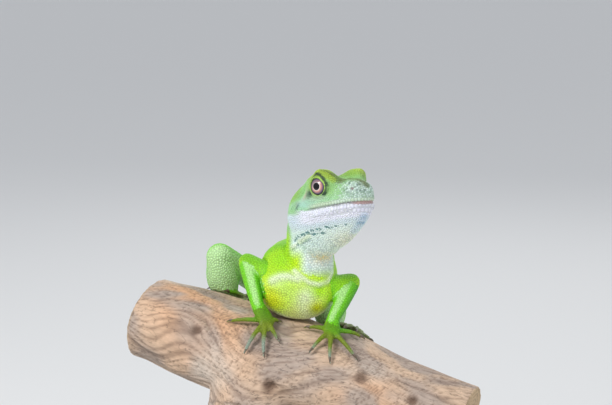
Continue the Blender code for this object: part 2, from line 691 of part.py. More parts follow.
def make_hand(name, joint, wrist_radius, palm, tips, finish):
    """A hand or foot: its palm and five clawed digits joined into one closed body."""
    centre = branch_point(*palm, PALM_HEIGHT + GAP + 0.3)
    out = unit(branch_point(*palm, 1.0) - branch_point(*palm, 0.0))
    middle_tip = branch_point(*tips[2], PALM_HEIGHT)
    ahead = unit(middle_tip - centre)
    line = [(*joint, wrist_radius, wrist_radius, wrist_radius, 2.0)]
    line.append((*centre, PALM_WIDTH, PALM_HEIGHT, PALM_HEIGHT, 2.3))
    line.append((*(centre + ahead * 3.0), PALM_WIDTH * 0.8, PALM_HEIGHT * 0.7, PALM_HEIGHT * 0.7, 2.3))
    hand = tube(name, line, 0.0, 2.0, 0.4, out, 10, finish, wrist_radius * 0.8, 1.2)
    pieces = []
    for tip in tips:
        digit = branch_line(palm, tip, DIGIT_PLACES, DIGIT_LIFTS, DIGIT_RADII)
        pieces.append(tube("digit", digit, 0.0, 3.0, 0.75, out, 6, finish, 0.0, 0.5))
        run = np.array(tip) - np.array(palm)
        length = np.linalg.norm(np.array(digit[-1][:3]) - np.array(digit[0][:3]))
        claw_end = np.array(tip) + run * CLAW_LENGTH / length
        claw = branch_line(tip, claw_end, (-0.3, 0.5, 1.0), CLAW_LIFTS, CLAW_RADII)
        pieces.append(tube("claw", claw, 0.0, 2.0, 1.0, out, 5, finish))
    boolean(hand, pieces, "UNION")
    return hand


def main():
    for old in list(bpy.data.objects):
        bpy.data.objects.remove(old)
    green = material("body green", (0.22, 0.62, 0.05), 0.45)
    head_green = material("head green", (0.30, 0.60, 0.12), 0.4)
    limb_green = material("limb green", (0.16, 0.58, 0.03), 0.45)
    iris = material("iris", (0.60, 0.25, 0.18), 0.15)
    bark = material("weathered wood", (0.45, 0.36, 0.27), 0.8)
    plate = material("stand plate", (0.05, 0.05, 0.05), 0.5)
    steel = material("stand rod", (0.6, 0.6, 0.6), 0.3, 1.0)

    branch = make_branch(bark)
    make_stand(branch, plate, steel)
    head, _ = make_head(head_green, iris)
    torso, tails = make_trunk(green)
    neck = tube("neck", NECK, 0.0, 4.0, 0.34, NECK_UP, 20, green)
    meet(neck, head, torso)
    for side, pose in LIMBS.items():
        arm = limb_tube(f"upper_arm_{side}", pose["shoulder"], pose["elbow"], UPPER_ARM_RADII, limb_green)
        meet(arm, torso, neck)
        forearm = limb_tube(f"forearm_{side}", pose["elbow"], pose["wrist"], FOREARM_RADII, limb_green)
        meet(forearm, arm, torso, branch)
        thigh = limb_tube(f"thigh_{side}", pose["hip"], pose["knee"], THIGH_RADII, limb_green, 16)
        meet(thigh, torso, branch)
        shin = limb_tube(f"shin_{side}", pose["knee"], pose["ankle"], SHIN_RADII, limb_green)
        meet(shin, thigh, torso, branch)
    for name, (parent, joint, radius, palm, tips) in HANDS.items():
        pose = LIMBS[name.split("_")[1]]
        hand = make_hand(name, pose[joint], radius, palm, tips, limb_green)
        meet(hand, bpy.data.objects[parent], torso, branch)
    meet(torso, branch)
    crested = {piece.name: piece for piece in (neck, torso, tails[0], tails[1])}
    for name, (start, end, spacing, heights) in CREST.items():
        frames_at = neck_frames if name == "neck" else trunk_frames
        add_crest(crested[name], frames_at, start, end, spacing, heights, green)


main()
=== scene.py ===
"""The looks of a young Chinese water dragon on its branch and stand.

Named sizes are in millimetres, in the frame of the CAD, and become metres where a mesh is made."""

import math

import bmesh
import bpy
import numpy as np
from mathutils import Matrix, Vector
from mathutils.bvhtree import BVHTree
from mathutils.kdtree import KDTree


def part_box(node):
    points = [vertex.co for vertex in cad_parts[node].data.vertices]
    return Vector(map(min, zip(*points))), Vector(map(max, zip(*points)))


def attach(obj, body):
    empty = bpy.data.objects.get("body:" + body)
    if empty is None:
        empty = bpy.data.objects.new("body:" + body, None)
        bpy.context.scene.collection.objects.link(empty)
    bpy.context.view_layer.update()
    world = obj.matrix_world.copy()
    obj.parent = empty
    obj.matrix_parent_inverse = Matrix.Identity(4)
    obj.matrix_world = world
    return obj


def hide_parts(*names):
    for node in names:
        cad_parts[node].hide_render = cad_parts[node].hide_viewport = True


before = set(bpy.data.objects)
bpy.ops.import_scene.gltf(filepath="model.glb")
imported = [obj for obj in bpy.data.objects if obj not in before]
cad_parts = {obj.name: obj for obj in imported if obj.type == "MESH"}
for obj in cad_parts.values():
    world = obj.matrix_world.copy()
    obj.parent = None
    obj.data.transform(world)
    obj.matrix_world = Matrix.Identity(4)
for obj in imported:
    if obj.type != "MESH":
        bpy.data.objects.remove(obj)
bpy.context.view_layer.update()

MM = 0.001
RNG = np.random.default_rng(4)

# The head, in its own frame: u forward, v to its left, w up
HEAD_LENGTH = 38.0
HEAD_YAW = 35.0
HEAD_PITCH = 10.0
HEAD_ROLL = 4.0
SNOUT_TIP = (21.6, -44.4, 211.6)
EYE_PLACE = (21.0, 7.1, 3.5)
EYE_RADIUS = 4.3
EYE_TURN = 20.0
TYMPANUM_PLACE = (7.6, 11.8, -1.9)
# The mouth line's places: forward and up
MOUTH_LINE = (
    (-6.0, -4.0), (4.0, -4.4), (15.5, -4.8), (21.0, -4.2), (27.0, -3.5), (32.0, -2.9), (38.0, -2.6),
)
MOUTH_CORNER = 15.5

# The trunk's and neck's lines, as in the CAD: x, y, z and how far the back rises over them
TRUNK = (
    (-3.3, -22.5, 171.4, 9.4), (-3.3, -17.0, 171.6, 13.2), (-3.2, -7.0, 171.6, 15.8),
    (-3.0, 8.0, 170.6, 14.8), (-3.2, 22.0, 167.6, 12.4), (-4.2, 35.0, 163.8, 9.6),
    (-5.4, 46.0, 160.8, 8.6), (-7.0, 57.0, 158.0, 7.8), (-9.0, 73.0, 154.0, 7.0),
    (-10.0, 96.0, 146.0, 6.0), (-8.0, 121.0, 130.0, 5.0), (1.0, 141.0, 107.0, 4.1),
    (18.0, 150.0, 82.0, 3.3), (44.0, 147.0, 55.0, 2.6),
)
NECK = (
    (0.9, -14.5, 202.5, 5.6), (1.0, -15.5, 196.0, 7.6), (1.2, -16.5, 188.0, 8.4), (1.2, -16.0, 179.5, 9.2),
    (0.8, -14.5, 171.0, 8.5),
)
BODY_ROLL = 9.0

# The branch and what rests on it, as in the CAD
BRANCH_MIDDLE = (0.0, -23.0, 142.7)
BRANCH_TURN = 22.0
BRANCH_SLOPE = 12.0
BRANCH_ENDS = (-66.0, 64.0)
# Its sizes: place along it, half width, and how far its crest and underside are from its line
BRANCH_SIZES = (
    (-66.0, 19.5, 14.8, 18.0), (-44.0, 23.0, 15.2, 18.0), (-22.0, 26.0, 16.6, 18.5), (0.0, 24.5, 17.0, 17.5),
    (22.0, 20.5, 15.6, 16.0), (44.0, 16.5, 14.0, 14.5), (64.0, 15.0, 13.0, 13.5),
)
STUB_START = (-18.0, -28.0, 140.0)
STUB_END = (-24.0, -42.0, 106.0)

# The photograph's camera, and the picture's width and height in its own dots
CAMERA_PLACE = (0.0, -542.1, 296.3)
CAMERA_PITCH = 80.0
CAMERA_LENS = 85.0
CAMERA_SENSOR = 36.0
PICTURE_WIDTH = 612.0
PICTURE_HEIGHT = 405.0

# Where each palm and its five digit tips rest: along the branch, and degrees round it from its crest
HANDS = {
    "hand_right": ((-14.4, 28.0), ((-11.3, 19.5), (-7.1, 41.9), (-9.0, 60.5), (-15.5, 62.3), (-26.7, 36.3))),
    "hand_left": ((8.8, 14.0), ((0.2, 14.6), (6.2, 41.6), (13.6, 45.3), (20.6, 31.4), (17.8, -3.0))),
    "foot_right": (
        (-35.0, -58.0), ((-34.0, -34.0), (-42.0, -34.0), (-49.0, -40.0), (-53.0, -54.0), (-44.0, -82.0)),
    ),
    "foot_left": ((10.0, -52.0), ((1.0, -34.0), (4.6, -24.0), (9.2, -20.0), (13.4, -22.0), (17.2, -48.0))),
}

# The skin: grown to close the gaps between nodes, remeshed, then drawn in below the scales
GROWN = 0.25
VOXEL = 0.42
DRAWN_IN = 0.4
DIGIT_DRAWN_IN = 0.37
BODY_SHARE = 0.4
# How light the skin stays: it shows only between the scales and is darkened there as painted shade
SKIN_SHADE = 0.7
# How many times the skin is smoothed: on the body, the digits, some nodes, and more at the brow
BODY_ROUNDS = 26.0
DIGIT_ROUNDS = 3.0
NODE_ROUNDS = {"head": 2.0, "tail_lower": 6.0, "tail_tip": 1.0}
BROW_ROUNDS = 22.0
BROW_PLACE = (23.0, 8.5, 10.5)
BROW_SPREAD = (4.5, 3.0, 2.2)
BLEND_ROUNDS = 12

# Which node each one grows from, so that scales point away from the head and the trunk
TAIL = ("tail_base", "tail_upper", "tail_lower", "tail_tip")
GROWS_FROM = {"head": "neck", "neck": "head", "torso": "neck", **dict(zip(TAIL, ("torso", *TAIL)))}
for limb in (("upper_arm", "forearm", "hand"), ("thigh", "shin", "foot")):
    for side_name in ("right", "left"):
        chain = [f"{part}_{side_name}" for part in limb]
        GROWS_FROM.update(zip(chain, ("torso", *chain)))
FLESH = list(GROWS_FROM)
DIGITS = [name for name in FLESH if name.startswith(("hand", "foot"))]
HIND_LEGS = ("thigh_right", "shin_right", "thigh_left", "shin_left")


def ink(red, green, blue):
    """A colour by its screen values, as the linear values that Blender takes."""
    return np.array([value / 255.0 for value in (red, green, blue)]) ** 2.2


def unit(vectors):
    vectors = np.asarray(vectors, float)
    return vectors / np.maximum(np.linalg.norm(vectors, axis=-1, keepdims=True), 1e-12)


def ease(low, high, values):
    """0 at low, 1 at high and smooth between, whichever of the two is the larger."""
    t = np.clip((np.asarray(values, float) - low) / (high - low), 0.0, 1.0)
    return t * t * (3.0 - 2.0 * t)


def hill(gaps, width):
    """1 where a gap is nothing, fading smoothly with it over the width."""
    return np.exp(-((gaps / width) ** 2))


def near(points, place, spread):
    """1 at a place, fading smoothly with distance over the spread, given once or for each axis."""
    return np.exp(-((((points - np.array(place)) / np.array(spread)) ** 2).sum(axis=-1)))


def full_turn(count):
    """Angles evenly round a full turn."""
    return np.arange(count) * 2 * math.pi / count


def ring(angles, across, upward):
    """Ways that fan out at the angles, from across towards upward."""
    return np.cos(angles)[:, None] * across + np.sin(angles)[:, None] * upward


def run_along(places):
    """How far each place of a line is from its start, measured along it."""
    return np.concatenate(([0.0], np.cumsum(np.linalg.norm(np.diff(places, axis=0), axis=1))))


def head_axes():
    """Forward, left and up of the head in the row's frame."""
    yaw, pitch, roll = (math.radians(angle) for angle in (HEAD_YAW, HEAD_PITCH, HEAD_ROLL))
    forward = np.array((math.sin(yaw) * math.cos(pitch), -math.cos(yaw) * math.cos(pitch), math.sin(pitch)))
    left = unit(np.cross((0, 0, 1), forward))
    up = np.cross(forward, left)
    leaned = left * math.cos(roll) - up * math.sin(roll)
    return np.array((forward, leaned, up * math.cos(roll) + left * math.sin(roll)))


HEAD_AXES = head_axes()
HEAD_ORIGIN = np.array(SNOUT_TIP) - HEAD_LENGTH * HEAD_AXES[0]


def to_head(points):
    """Points of the row's frame as places in the head's own."""
    return (np.asarray(points, float) - HEAD_ORIGIN) @ HEAD_AXES.T


def one_side(points):
    """The same with the head's right side folded onto its left, for what is alike on both."""
    places = to_head(points)
    places[:, 1] = np.abs(places[:, 1])
    return places


def from_head(places):
    return HEAD_ORIGIN + np.asarray(places, float) @ HEAD_AXES


def mouth_height(u):
    """How high the mouth line runs at each distance forward."""
    return np.interp(u, *zip(*MOUTH_LINE))


def over_mouth(places):
    return places[:, 2] - mouth_height(places[:, 0])


# Meshes to arrays and back

def select_only(piece=None):
    """Leaves one piece selected and active, or nothing selected."""
    bpy.ops.object.select_all(action="DESELECT")
    if piece is not None:
        piece.select_set(True)
        bpy.context.view_layer.objects.active = piece


def read_rows(items, field, width, kind=np.float32):
    """The numbers that the items of a mesh hold, one row for each."""
    values = np.empty(len(items) * width, kind)
    items.foreach_get(field, values)
    return values.reshape(-1, width)


def read_points(piece):
    """A piece's points in millimetres."""
    return read_rows(piece.data.vertices, "co", 3).astype(float) / MM


def read_normals(piece):
    return read_rows(piece.data.vertex_normals, "vector", 3).astype(float)


def read_edges(piece):
    return read_rows(piece.data.edges, "vertices", 2, np.int32)


def read_triangles(piece):
    piece.data.calc_loop_triangles()
    return read_rows(piece.data.loop_triangles, "vertices", 3, np.int32)


def write_points(piece, points):
    piece.data.vertices.foreach_set("co", (points * MM).astype(np.float32).reshape(-1))
    piece.data.update()


def node_mesh(name):
    """A CAD node's points and triangles: points that share a place become one, collapsed triangles go."""
    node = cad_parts[name]
    points, corners = read_points(node), read_triangles(node)
    _, first, index = np.unique(np.round(points, 4), axis=0, return_index=True, return_inverse=True)
    corners = index.reshape(-1)[corners]
    whole = (corners != np.roll(corners, 1, axis=1)).all(axis=1)
    return points[first], corners[whole]


def joined(meshes):
    """Several pairs of points and faces as one pair."""
    points, faces = zip(*meshes)
    starts = np.cumsum([0] + [len(places) for places in points[:-1]])
    return np.concatenate(points), np.concatenate([rows + start for rows, start in zip(faces, starts)])


def point_normals(points, corners):
    normals = np.zeros_like(points)
    a, b, c = (points[corners[:, k]] for k in range(3))
    across = np.cross(b - a, c - a)
    for k in range(3):
        np.add.at(normals, corners[:, k], across)
    return unit(normals)


def mesh_object(name, points, faces, finish=None):
    """A mesh object from points in millimetres and faces, with smooth shading."""
    mesh = bpy.data.meshes.new(name)
    faces = faces.tolist() if isinstance(faces, np.ndarray) else faces
    mesh.from_pydata((np.asarray(points) * MM).tolist(), [], faces)
    mesh.shade_smooth()
    if finish is not None:
        mesh.materials.append(finish)
    made = bpy.data.objects.new(name, mesh)
    bpy.context.scene.collection.objects.link(made)
    return made


def remeshed(piece, size):
    """Gives a piece an even mesh, with edges of about the size; its new points and edges."""
    select_only(piece)
    piece.data.remesh_voxel_size = size * MM
    bpy.ops.object.voxel_remesh()
    return read_points(piece), read_edges(piece)


def outward(piece):
    """Turns every face to look outwards."""
    work = bmesh.new()
    work.from_mesh(piece.data)
    bmesh.ops.recalc_face_normals(work, faces=work.faces)
    work.to_mesh(piece.data)
    work.free()


def ring_faces(rings, sides, closed=False):
    """Faces of four sides between rings of points, and from the last ring to the first where closed."""
    faces = []
    for r in range(rings if closed else rings - 1):
        low, high = r * sides, (r + 1) % rings * sides
        for k in range(sides):
            j = (k + 1) % sides
            faces.append((low + k, low + j, high + j, high + k))
    return faces


def tube_faces(rings, sides, first):
    """Faces of a tube with both ends closed, whose points start at the one numbered first."""
    ends = [tuple(range(sides))[::-1], tuple(range((rings - 1) * sides, rings * sides))]
    return [tuple(k + first for k in face) for face in ring_faces(rings, sides) + ends]


def neighbour_mean(values, ends):
    """The mean of each point's neighbours."""
    count = len(values)
    share = np.bincount(ends.reshape(-1), minlength=count)
    total = np.empty_like(values)
    for k in range(values.shape[1]):
        column = values[:, k]
        total[:, k] = np.bincount(ends[:, 0], weights=column[ends[:, 1]], minlength=count)
        total[:, k] += np.bincount(ends[:, 1], weights=column[ends[:, 0]], minlength=count)
    return total / np.maximum(share, 1)[:, None]


def paint(piece, colours):
    """Stores one colour a point, as the attribute that the finishes read."""
    layer = piece.data.color_attributes.new(name="tint", type="FLOAT_COLOR", domain="POINT")
    rgba = np.ones((len(colours), 4), np.float32)
    rgba[:, :3] = colours
    layer.data.foreach_set("color", rgba.reshape(-1))


def lay_out(piece, spots):
    """Stores the piece's unwrap from one place a point."""
    layer = piece.data.uv_layers.new(name="OFBake")
    loops = read_rows(piece.data.loops, "vertex_index", 1, np.int32)[:, 0]
    layer.data.foreach_set("uv", spots[loops].astype(np.float32).reshape(-1))


# The skin

# A way that no node's line has, and the empty edge of each node's rectangle in the unwrap
NO_NODE_WAY = (0.3, 0.2, 0.93)
UNWRAP_EDGE = 0.04


class Body:
    """Where each CAD node lies: its triangles for finding the nearest, and its own line, start and ends."""

    def __init__(self):
        self.middle, self.axis, self.side, self.reach, self.start = {}, {}, {}, {}, {}
        meshes = {name: node_mesh(name) for name in FLESH}
        for name, (points, _) in meshes.items():
            self.middle[name] = points.mean(axis=0)
        for name, (points, _) in meshes.items():
            spread = points - self.middle[name]
            parent = self.middle[GROWS_FROM[name]]
            axis = np.linalg.svd(spread, full_matrices=False)[2][0]
            axis = axis * math.copysign(1.0, axis @ (self.middle[name] - parent))
            if name == "head":
                axis = -HEAD_AXES[0]
            if name == "neck":
                axis = axis * math.copysign(1.0, -axis[2])
            self.axis[name] = axis
            self.side[name] = unit(np.cross(axis, NO_NODE_WAY))
            along = spread @ axis
            self.reach[name] = (along.min(), along.max())
            self.start[name] = points[np.argmin(np.linalg.norm(points - parent, axis=1))]
        self.owner = np.repeat(FLESH, [len(corners) for _, corners in meshes.values()])
        points, corners = joined(meshes.values())
        self.tree = BVHTree.FromPolygons(points.tolist(), corners.tolist())
        self.folds = [[self.seen(*place) for place in line] for _, _, line in FOLDS]
        self.bulges = [self.seen(*place) for _, _, place in BULGES]
        self.patches = [self.seen(x, y) for x, y, _, _, _ in CHEST_PATCHES]
        self.olive, self.ridge = (
            to_head([self.seen(*place) for place in line]) for line in (OLIVE_AND_SHADE_LINE, BROW_LINE)
        )

    def seen(self, x, y):
        """The place on the body that the camera sees at a place in the picture."""
        return np.array(self.tree.ray_cast(CAMERA_PLACE, seen_way(x, y))[0])

    def names_at(self, points):
        """The name of the node that is nearest to each point."""
        return self.owner[[self.tree.find_nearest(point)[2] for point in points.tolist()]]

    def along(self, points, name):
        """How far each point is along a node's line, from the line's start."""
        return (points - self.middle[name]) @ self.axis[name] - self.reach[name][0]

    def flow(self, points, names):
        """The way that scales lie at each point: away from the snout, the trunk and the wrist."""
        ways = np.zeros_like(points)
        for name in FLESH:
            here = names == name
            ways[here] = unit(points[here] - self.start[name]) if name in DIGITS else self.axis[name]
        return ways

    def unwrap(self, points, names):
        """The skin's own unwrap: each node has a rectangle, along its line and round it."""
        places = np.zeros((len(points), 2))
        across = math.ceil(math.sqrt(len(FLESH)))
        for n, name in enumerate(FLESH):
            here = names == name
            side, spread = self.side[name], points[here] - self.middle[name]
            turn = np.arctan2(spread @ np.cross(self.axis[name], side), spread @ side) / (2 * math.pi) + 0.5
            along = self.along(points[here], name) / np.ptp(self.reach[name])
            inside = np.stack((turn, np.clip(along, 0.0, 1.0)), axis=1)
            corner = np.array((n % across, n // across))
            places[here] = (corner + UNWRAP_EDGE + (1.0 - 2 * UNWRAP_EDGE) * inside) / across
        return places


# Folds of the skin: how far each stands out, its half width, and its line as places in the picture
FOLDS = (
    (0.55, 0.9, (
        (294.5, 270.7), (300.8, 276.3), (309.3, 282.6), (319.1, 284.7), (328.2, 281.2), (332.4, 272.1),
    )),
    (-0.5, 0.8, ((293.0, 274.9), (299.6, 280.2), (308.5, 286.9), (319.4, 289.0), (329.5, 285.2))),
    (0.5, 1.1, ((272.8, 280.5), (279.8, 277.0), (288.2, 276.3), (298.0, 278.4))),
    (-0.45, 0.8, ((271.0, 285.5), (280.0, 282.6), (289.0, 282.0), (298.0, 284.4))),
    (-0.6, 0.9, ((256.0, 284.7), (260.2, 294.5), (265.8, 304.3))),
    (-0.4, 1.0, ((262.0, 288.5), (272.5, 291.5), (286.0, 297.5))),
    (-0.3, 1.0, ((322.0, 290.0), (318.0, 300.0), (314.0, 312.0))),
    (-0.3, 0.7, ((288.2, 257.0), (292.0, 266.5), (296.5, 272.0))),
    (0.3, 0.7, ((291.2, 254.5), (295.2, 263.5), (300.5, 270.5))),
    (-0.25, 0.7, ((297.5, 256.5), (301.0, 264.5), (307.0, 271.5), (316.0, 275.5))),
    (0.5, 0.9, ((291.2, 247.4), (300.8, 241.4), (309.3, 236.2))),
    (-0.4, 0.7, ((292.2, 250.4), (301.8, 244.4), (310.6, 239.0))),
)
COLLAR, PECTORAL_HIGHLIGHT, THROAT_FOLD, THROAT_CREASE = 0, 2, 10, 11
# Rounder places: how far each stands out, its spread, and its place in the picture
BULGES = ((1.9, 5.5, (262.5, 289.0)), (0.8, 4.0, (323.0, 303.0)), (1.8, 6.0, (272.8, 252.5)))
# The head's rises and hollows on one side: how far each stands out, its middle and its spread
HEAD_SHAPES = (
    (1.0, (22.5, 5.2, 9.0), (5.5, 2.2, 3.5)),
    (0.5, (25.0, 9.5, 6.5), (3.0, 2.2, 2.5)),
    (-1.9, (6.5, 10.5, 3.0), (5.0, 4.5, 4.6)),
    (-1.3, (5.0, 9.5, 2.2), (5.0, 4.5, 4.5)),
    (-1.3, (38.0, 0.5, -4.8), (3.0, 5.5, 2.6)),
)
# The grooves of the dark arc over the eye and of the mouth line: depth and width
ARC_GROOVE = (0.28, 0.5)
MOUTH_GROOVE = (0.3, 0.45)


def seen_way(x, y):
    """The way from the camera through a place in the picture."""
    across = (x - PICTURE_WIDTH / 2) / PICTURE_WIDTH * CAMERA_SENSOR
    upward = (PICTURE_HEIGHT / 2 - y) / PICTURE_WIDTH * CAMERA_SENSOR
    pitch = math.radians(CAMERA_PITCH)
    c, s = math.cos(pitch), math.sin(pitch)
    return unit((across, upward * c + CAMERA_LENS * s, upward * s - CAMERA_LENS * c))


def fold_shape(body, points, names):
    """How far the skin stands out or in at each point: folds, fuller places and the head's own shapes."""
    shape = np.zeros(len(points))
    trunk = np.isin(names, ("torso", "neck", "upper_arm_right", "upper_arm_left"))
    for (amount, width, _), line in zip(FOLDS, body.folds):
        shape[trunk] += amount * hill(line_distance(points[trunk], line), width)
    torso = names == "torso"
    for (amount, spread, _), place in zip(BULGES, body.bulges):
        shape[torso] += amount * near(points[torso], place, spread)
    places = one_side(points)
    over = over_mouth(places)
    head = names == "head"
    for amount, middle, spread in HEAD_SHAPES:
        shape[head] += amount * near(places[head], middle, spread)
    depth, width = ARC_GROOVE
    shape[head] -= depth * hill(arc_distance(places[head]), width)
    depth, width = MOUTH_GROOVE
    groove = depth * hill(over, width) * ease(MOUTH_CORNER - 1.5, MOUTH_CORNER + 1.0, places[:, 0])
    shape[head] -= groove[head]
    return shape


def make_skin(body):
    """One closed skin over all the flesh nodes, smooth where limbs and neck join the trunk."""
    grown = []
    for name in FLESH:
        points, corners = node_mesh(name)
        grown.append((points + point_normals(points, corners) * GROWN, corners))
    skin = mesh_object("skin", *joined(grown))
    places, ends = remeshed(skin, VOXEL)
    names = body.names_at(places)
    digits = np.isin(names, DIGITS)
    rounds = np.where(digits, DIGIT_ROUNDS, BODY_ROUNDS)
    for name, count in NODE_ROUNDS.items():
        rounds[names == name] = count
    head = names == "head"
    rounds[head] += BROW_ROUNDS * near(one_side(places)[head], BROW_PLACE, BROW_SPREAD)
    for _ in range(BLEND_ROUNDS):
        rounds = neighbour_mean(rounds[:, None], ends)[:, 0]
    for step in range(int(rounds.max())):
        share = np.clip(rounds - step, 0.0, 1.0)[:, None] * 0.5
        places += (neighbour_mean(places, ends) - places) * share
    write_points(skin, places)
    drawn = np.where(digits, DIGIT_DRAWN_IN, DRAWN_IN)
    drawn[names == "tail_tip"] = GROWN
    drawn = neighbour_mean(drawn[:, None], ends)
    places += read_normals(skin) * (fold_shape(body, places, names)[:, None] - drawn)
    write_points(skin, places)
    thin_body(skin, body)
    return skin


def thin_body(skin, body):
    """Fewer faces on the body, so that the head keeps its own within one piece's limit."""
    names = body.names_at(read_points(skin))
    group = skin.vertex_groups.new(name="body")
    group.add(np.nonzero(names != "head")[0].tolist(), 1.0, "REPLACE")
    step = skin.modifiers.new("fewer", "DECIMATE")
    step.ratio = BODY_SHARE
    step.vertex_group = group.name
    bpy.ops.object.modifier_apply(modifier=step.name)
    skin.vertex_groups.clear()


# Lines of the body and places on the branch

def smooth_row(rows, t):
    """The row of numbers at station t, on a smooth curve through all the rows."""
    rows = np.asarray(rows, float)
    last = len(rows) - 1
    i = min(max(int(t), 0), last - 1)
    f = t - i
    before = rows[i - 1] if i else 2 * rows[0] - rows[1]
    after = rows[i + 2] if i + 2 <= last else 2 * rows[last] - rows[last - 1]
    here, then = rows[i], rows[i + 1]
    swing = 2 * before - 5 * here + 4 * then - after
    twist = -before + 3 * here - 3 * then + after
    return 0.5 * (2 * here + (then - before) * f + swing * f * f + twist * f**3)


def ridge(rows, start, end, up):
    """Points on the back's middle line, the way it runs and the way up there, at fine steps."""
    line = []
    for t in np.arange(0.0, end + 0.001, 0.05):
        *place, rise = smooth_row(rows, t)
        ahead = unit(smooth_row(rows, t + 0.02)[:3] - smooth_row(rows, t - 0.02)[:3])
        up = unit(up - ahead * (ahead @ up))
        if t >= start:
            line.append((place + up * rise, ahead, up))
    return line


def branch_axes():
    """The ways along the branch, towards its front and up from its crest."""
    turn, slope = math.radians(BRANCH_TURN), math.radians(BRANCH_SLOPE)
    front = np.array((-math.sin(turn), -math.cos(turn), 0.0))
    level = np.array((math.cos(turn), -math.sin(turn), 0.0))
    along = level * math.cos(slope) - np.array((0.0, 0.0, math.sin(slope)))
    return along, front, np.cross(front, along)


def branch_point(s, around, lift=0.0):
    """A point s along the branch and around degrees from its crest to the front, lifted off the wood."""
    along, front, up = branch_axes()
    sizes = np.array(BRANCH_SIZES)
    width, rise, drop = (np.interp(s, sizes[:, 0], sizes[:, k]) for k in (1, 2, 3))
    c, f = math.cos(math.radians(around)), math.sin(math.radians(around))
    high = rise if c > 0 else drop
    swell = 1.0 + 0.025 * math.sin(s / 9.0 + 2 * math.radians(around)) + 0.02 * math.sin(s / 5.0 - 1.3)
    flat = front * width * swell * f + up * high * swell * c
    out = unit(front * f / width + up * c / high)
    return np.array(BRANCH_MIDDLE) + along * s + flat + out * lift


# The colours of the living animal, and of the painted shade and highlights on it, by their screen values
HEAD_GREEN = ink(148, 202, 128)
CROWN_GREEN = ink(140, 186, 84)
BROW_YELLOW = ink(164, 196, 66)
OLIVE = ink(92, 106, 44)
MINT = ink(168, 214, 190)
LILAC_SHADE = ink(192, 188, 210)
EYE_FOLD = ink(188, 218, 200)
LID_GREEN = ink(158, 196, 88)
CHIN_PALE = ink(192, 216, 234)
NOSTRIL_RED = ink(96, 34, 40)
SNOUT_GREY = ink(156, 184, 162)
LILAC = ink(230, 233, 241)
PALE_CHEEK = ink(206, 222, 226)
LIP_GREEN = ink(196, 218, 190)
THROAT_CREAM = ink(220, 240, 230)
THROAT_YELLOW = ink(232, 234, 206)
THROAT_GOLD = ink(240, 200, 120)
TEAL = ink(22, 108, 108)
CHIN_BLUE = ink(70, 130, 176)
DARK_MARK = ink(26, 48, 56)
TAN_MARK = ink(196, 176, 156)
PATCH_GREY = ink(96, 124, 104)
LIP_PINK = ink(188, 150, 146)
MOUTH_DARK = ink(146, 140, 150)
LIME = ink(158, 220, 20)
BACK_GREEN = ink(124, 196, 30)
CHEST_YELLOW = ink(194, 236, 26)
BELLY_PALE = ink(224, 238, 190)
STRIPE_PALE = ink(190, 232, 156)
LIMB_GREEN = ink(116, 208, 18)
FOREARM_HIGHLIGHT = ink(186, 234, 150)
HIND_LEG_LIGHT = ink(194, 232, 168)
LIMB_SHADE = ink(48, 150, 4)
WRIST_GREEN = ink(98, 150, 12)
FINGER_OLIVE = ink(122, 138, 34)
FINGER_TIP = ink(152, 166, 160)
IVORY = ink(226, 240, 200)
TOE_PALE = ink(168, 180, 140)
LEMON = ink(212, 226, 30)
APRICOT = ink(218, 200, 134)
TAIL_GREEN = ink(128, 168, 60)
TAIL_BROWN = ink(84, 66, 38)

# Lines and spots on one side of the head, as places in its own frame; the teal ones' last number is a size
DARK_ARC = (
    (18.6, 10.9, 6.9), (19.7, 10.7, 7.3), (21.5, 9.9, 8.0), (23.2, 9.2, 7.6), (24.6, 8.7, 6.3),
    (25.2, 8.3, 4.3), (24.9, 8.5, 2.2), (24.3, 8.9, 0.6),
)
UNDER_EYE = ((14.5, 11.5, -0.2), (18.0, 11.0, -0.9), (22.0, 10.2, -0.9), (26.0, 9.3, -0.2))
THROAT_EDGE = ((36.0, 0.5, -7.6), (33.3, 0.8, -10.0), (30.0, 0.8, -12.8))
CHIN_SPOTS = ((33.2, 0.9, -10.1), (35.6, 0.6, -8.2))
TEAL_SPOTS = (
    (29.8, 4.4, -10.6, 0.6), (26.4, 6.0, -10.9, 0.7), (23.9, 6.7, -11.4, 0.95), (22.4, 7.5, -11.0, 0.8),
    (18.7, 8.2, -11.8, 1.1), (15.7, 8.9, -12.2, 0.9), (13.4, 9.4, -12.9, 0.9), (10.9, 9.7, -13.6, 1.2),
    (8.4, 9.8, -14.2, 0.8), (6.4, 9.4, -14.8, 1.1), (3.8, 8.8, -15.4, 1.0), (19.7, 7.2, -13.1, 0.9),
    (17.4, 7.8, -13.3, 0.7), (15.5, 8.2, -13.5, 1.0), (11.4, 8.6, -15.4, 0.9), (8.9, 8.8, -16.1, 1.0),
    (4.9, 8.0, -17.0, 0.9), (1.6, 7.4, -17.6, 0.8),
)
# Along the brow's crest and the foot of the far brow, as places in the picture; the olive laid along the
# first is partly the brow's own colour and partly painted shade at the foot of the far brow
OLIVE_AND_SHADE_LINE = (
    (321.6, 171.2), (326.8, 172.4), (331.4, 174.8), (335.3, 177.4), (338.6, 179.2), (342.5, 179.4),
    (347.7, 179.0), (352.9, 178.9), (358.1, 179.3), (363.3, 181.2), (366.4, 184.2),
)
BROW_LINE = ((315.6, 172.6), (320.6, 173.0), (325.5, 174.6), (329.4, 177.2), (333.0, 180.0))
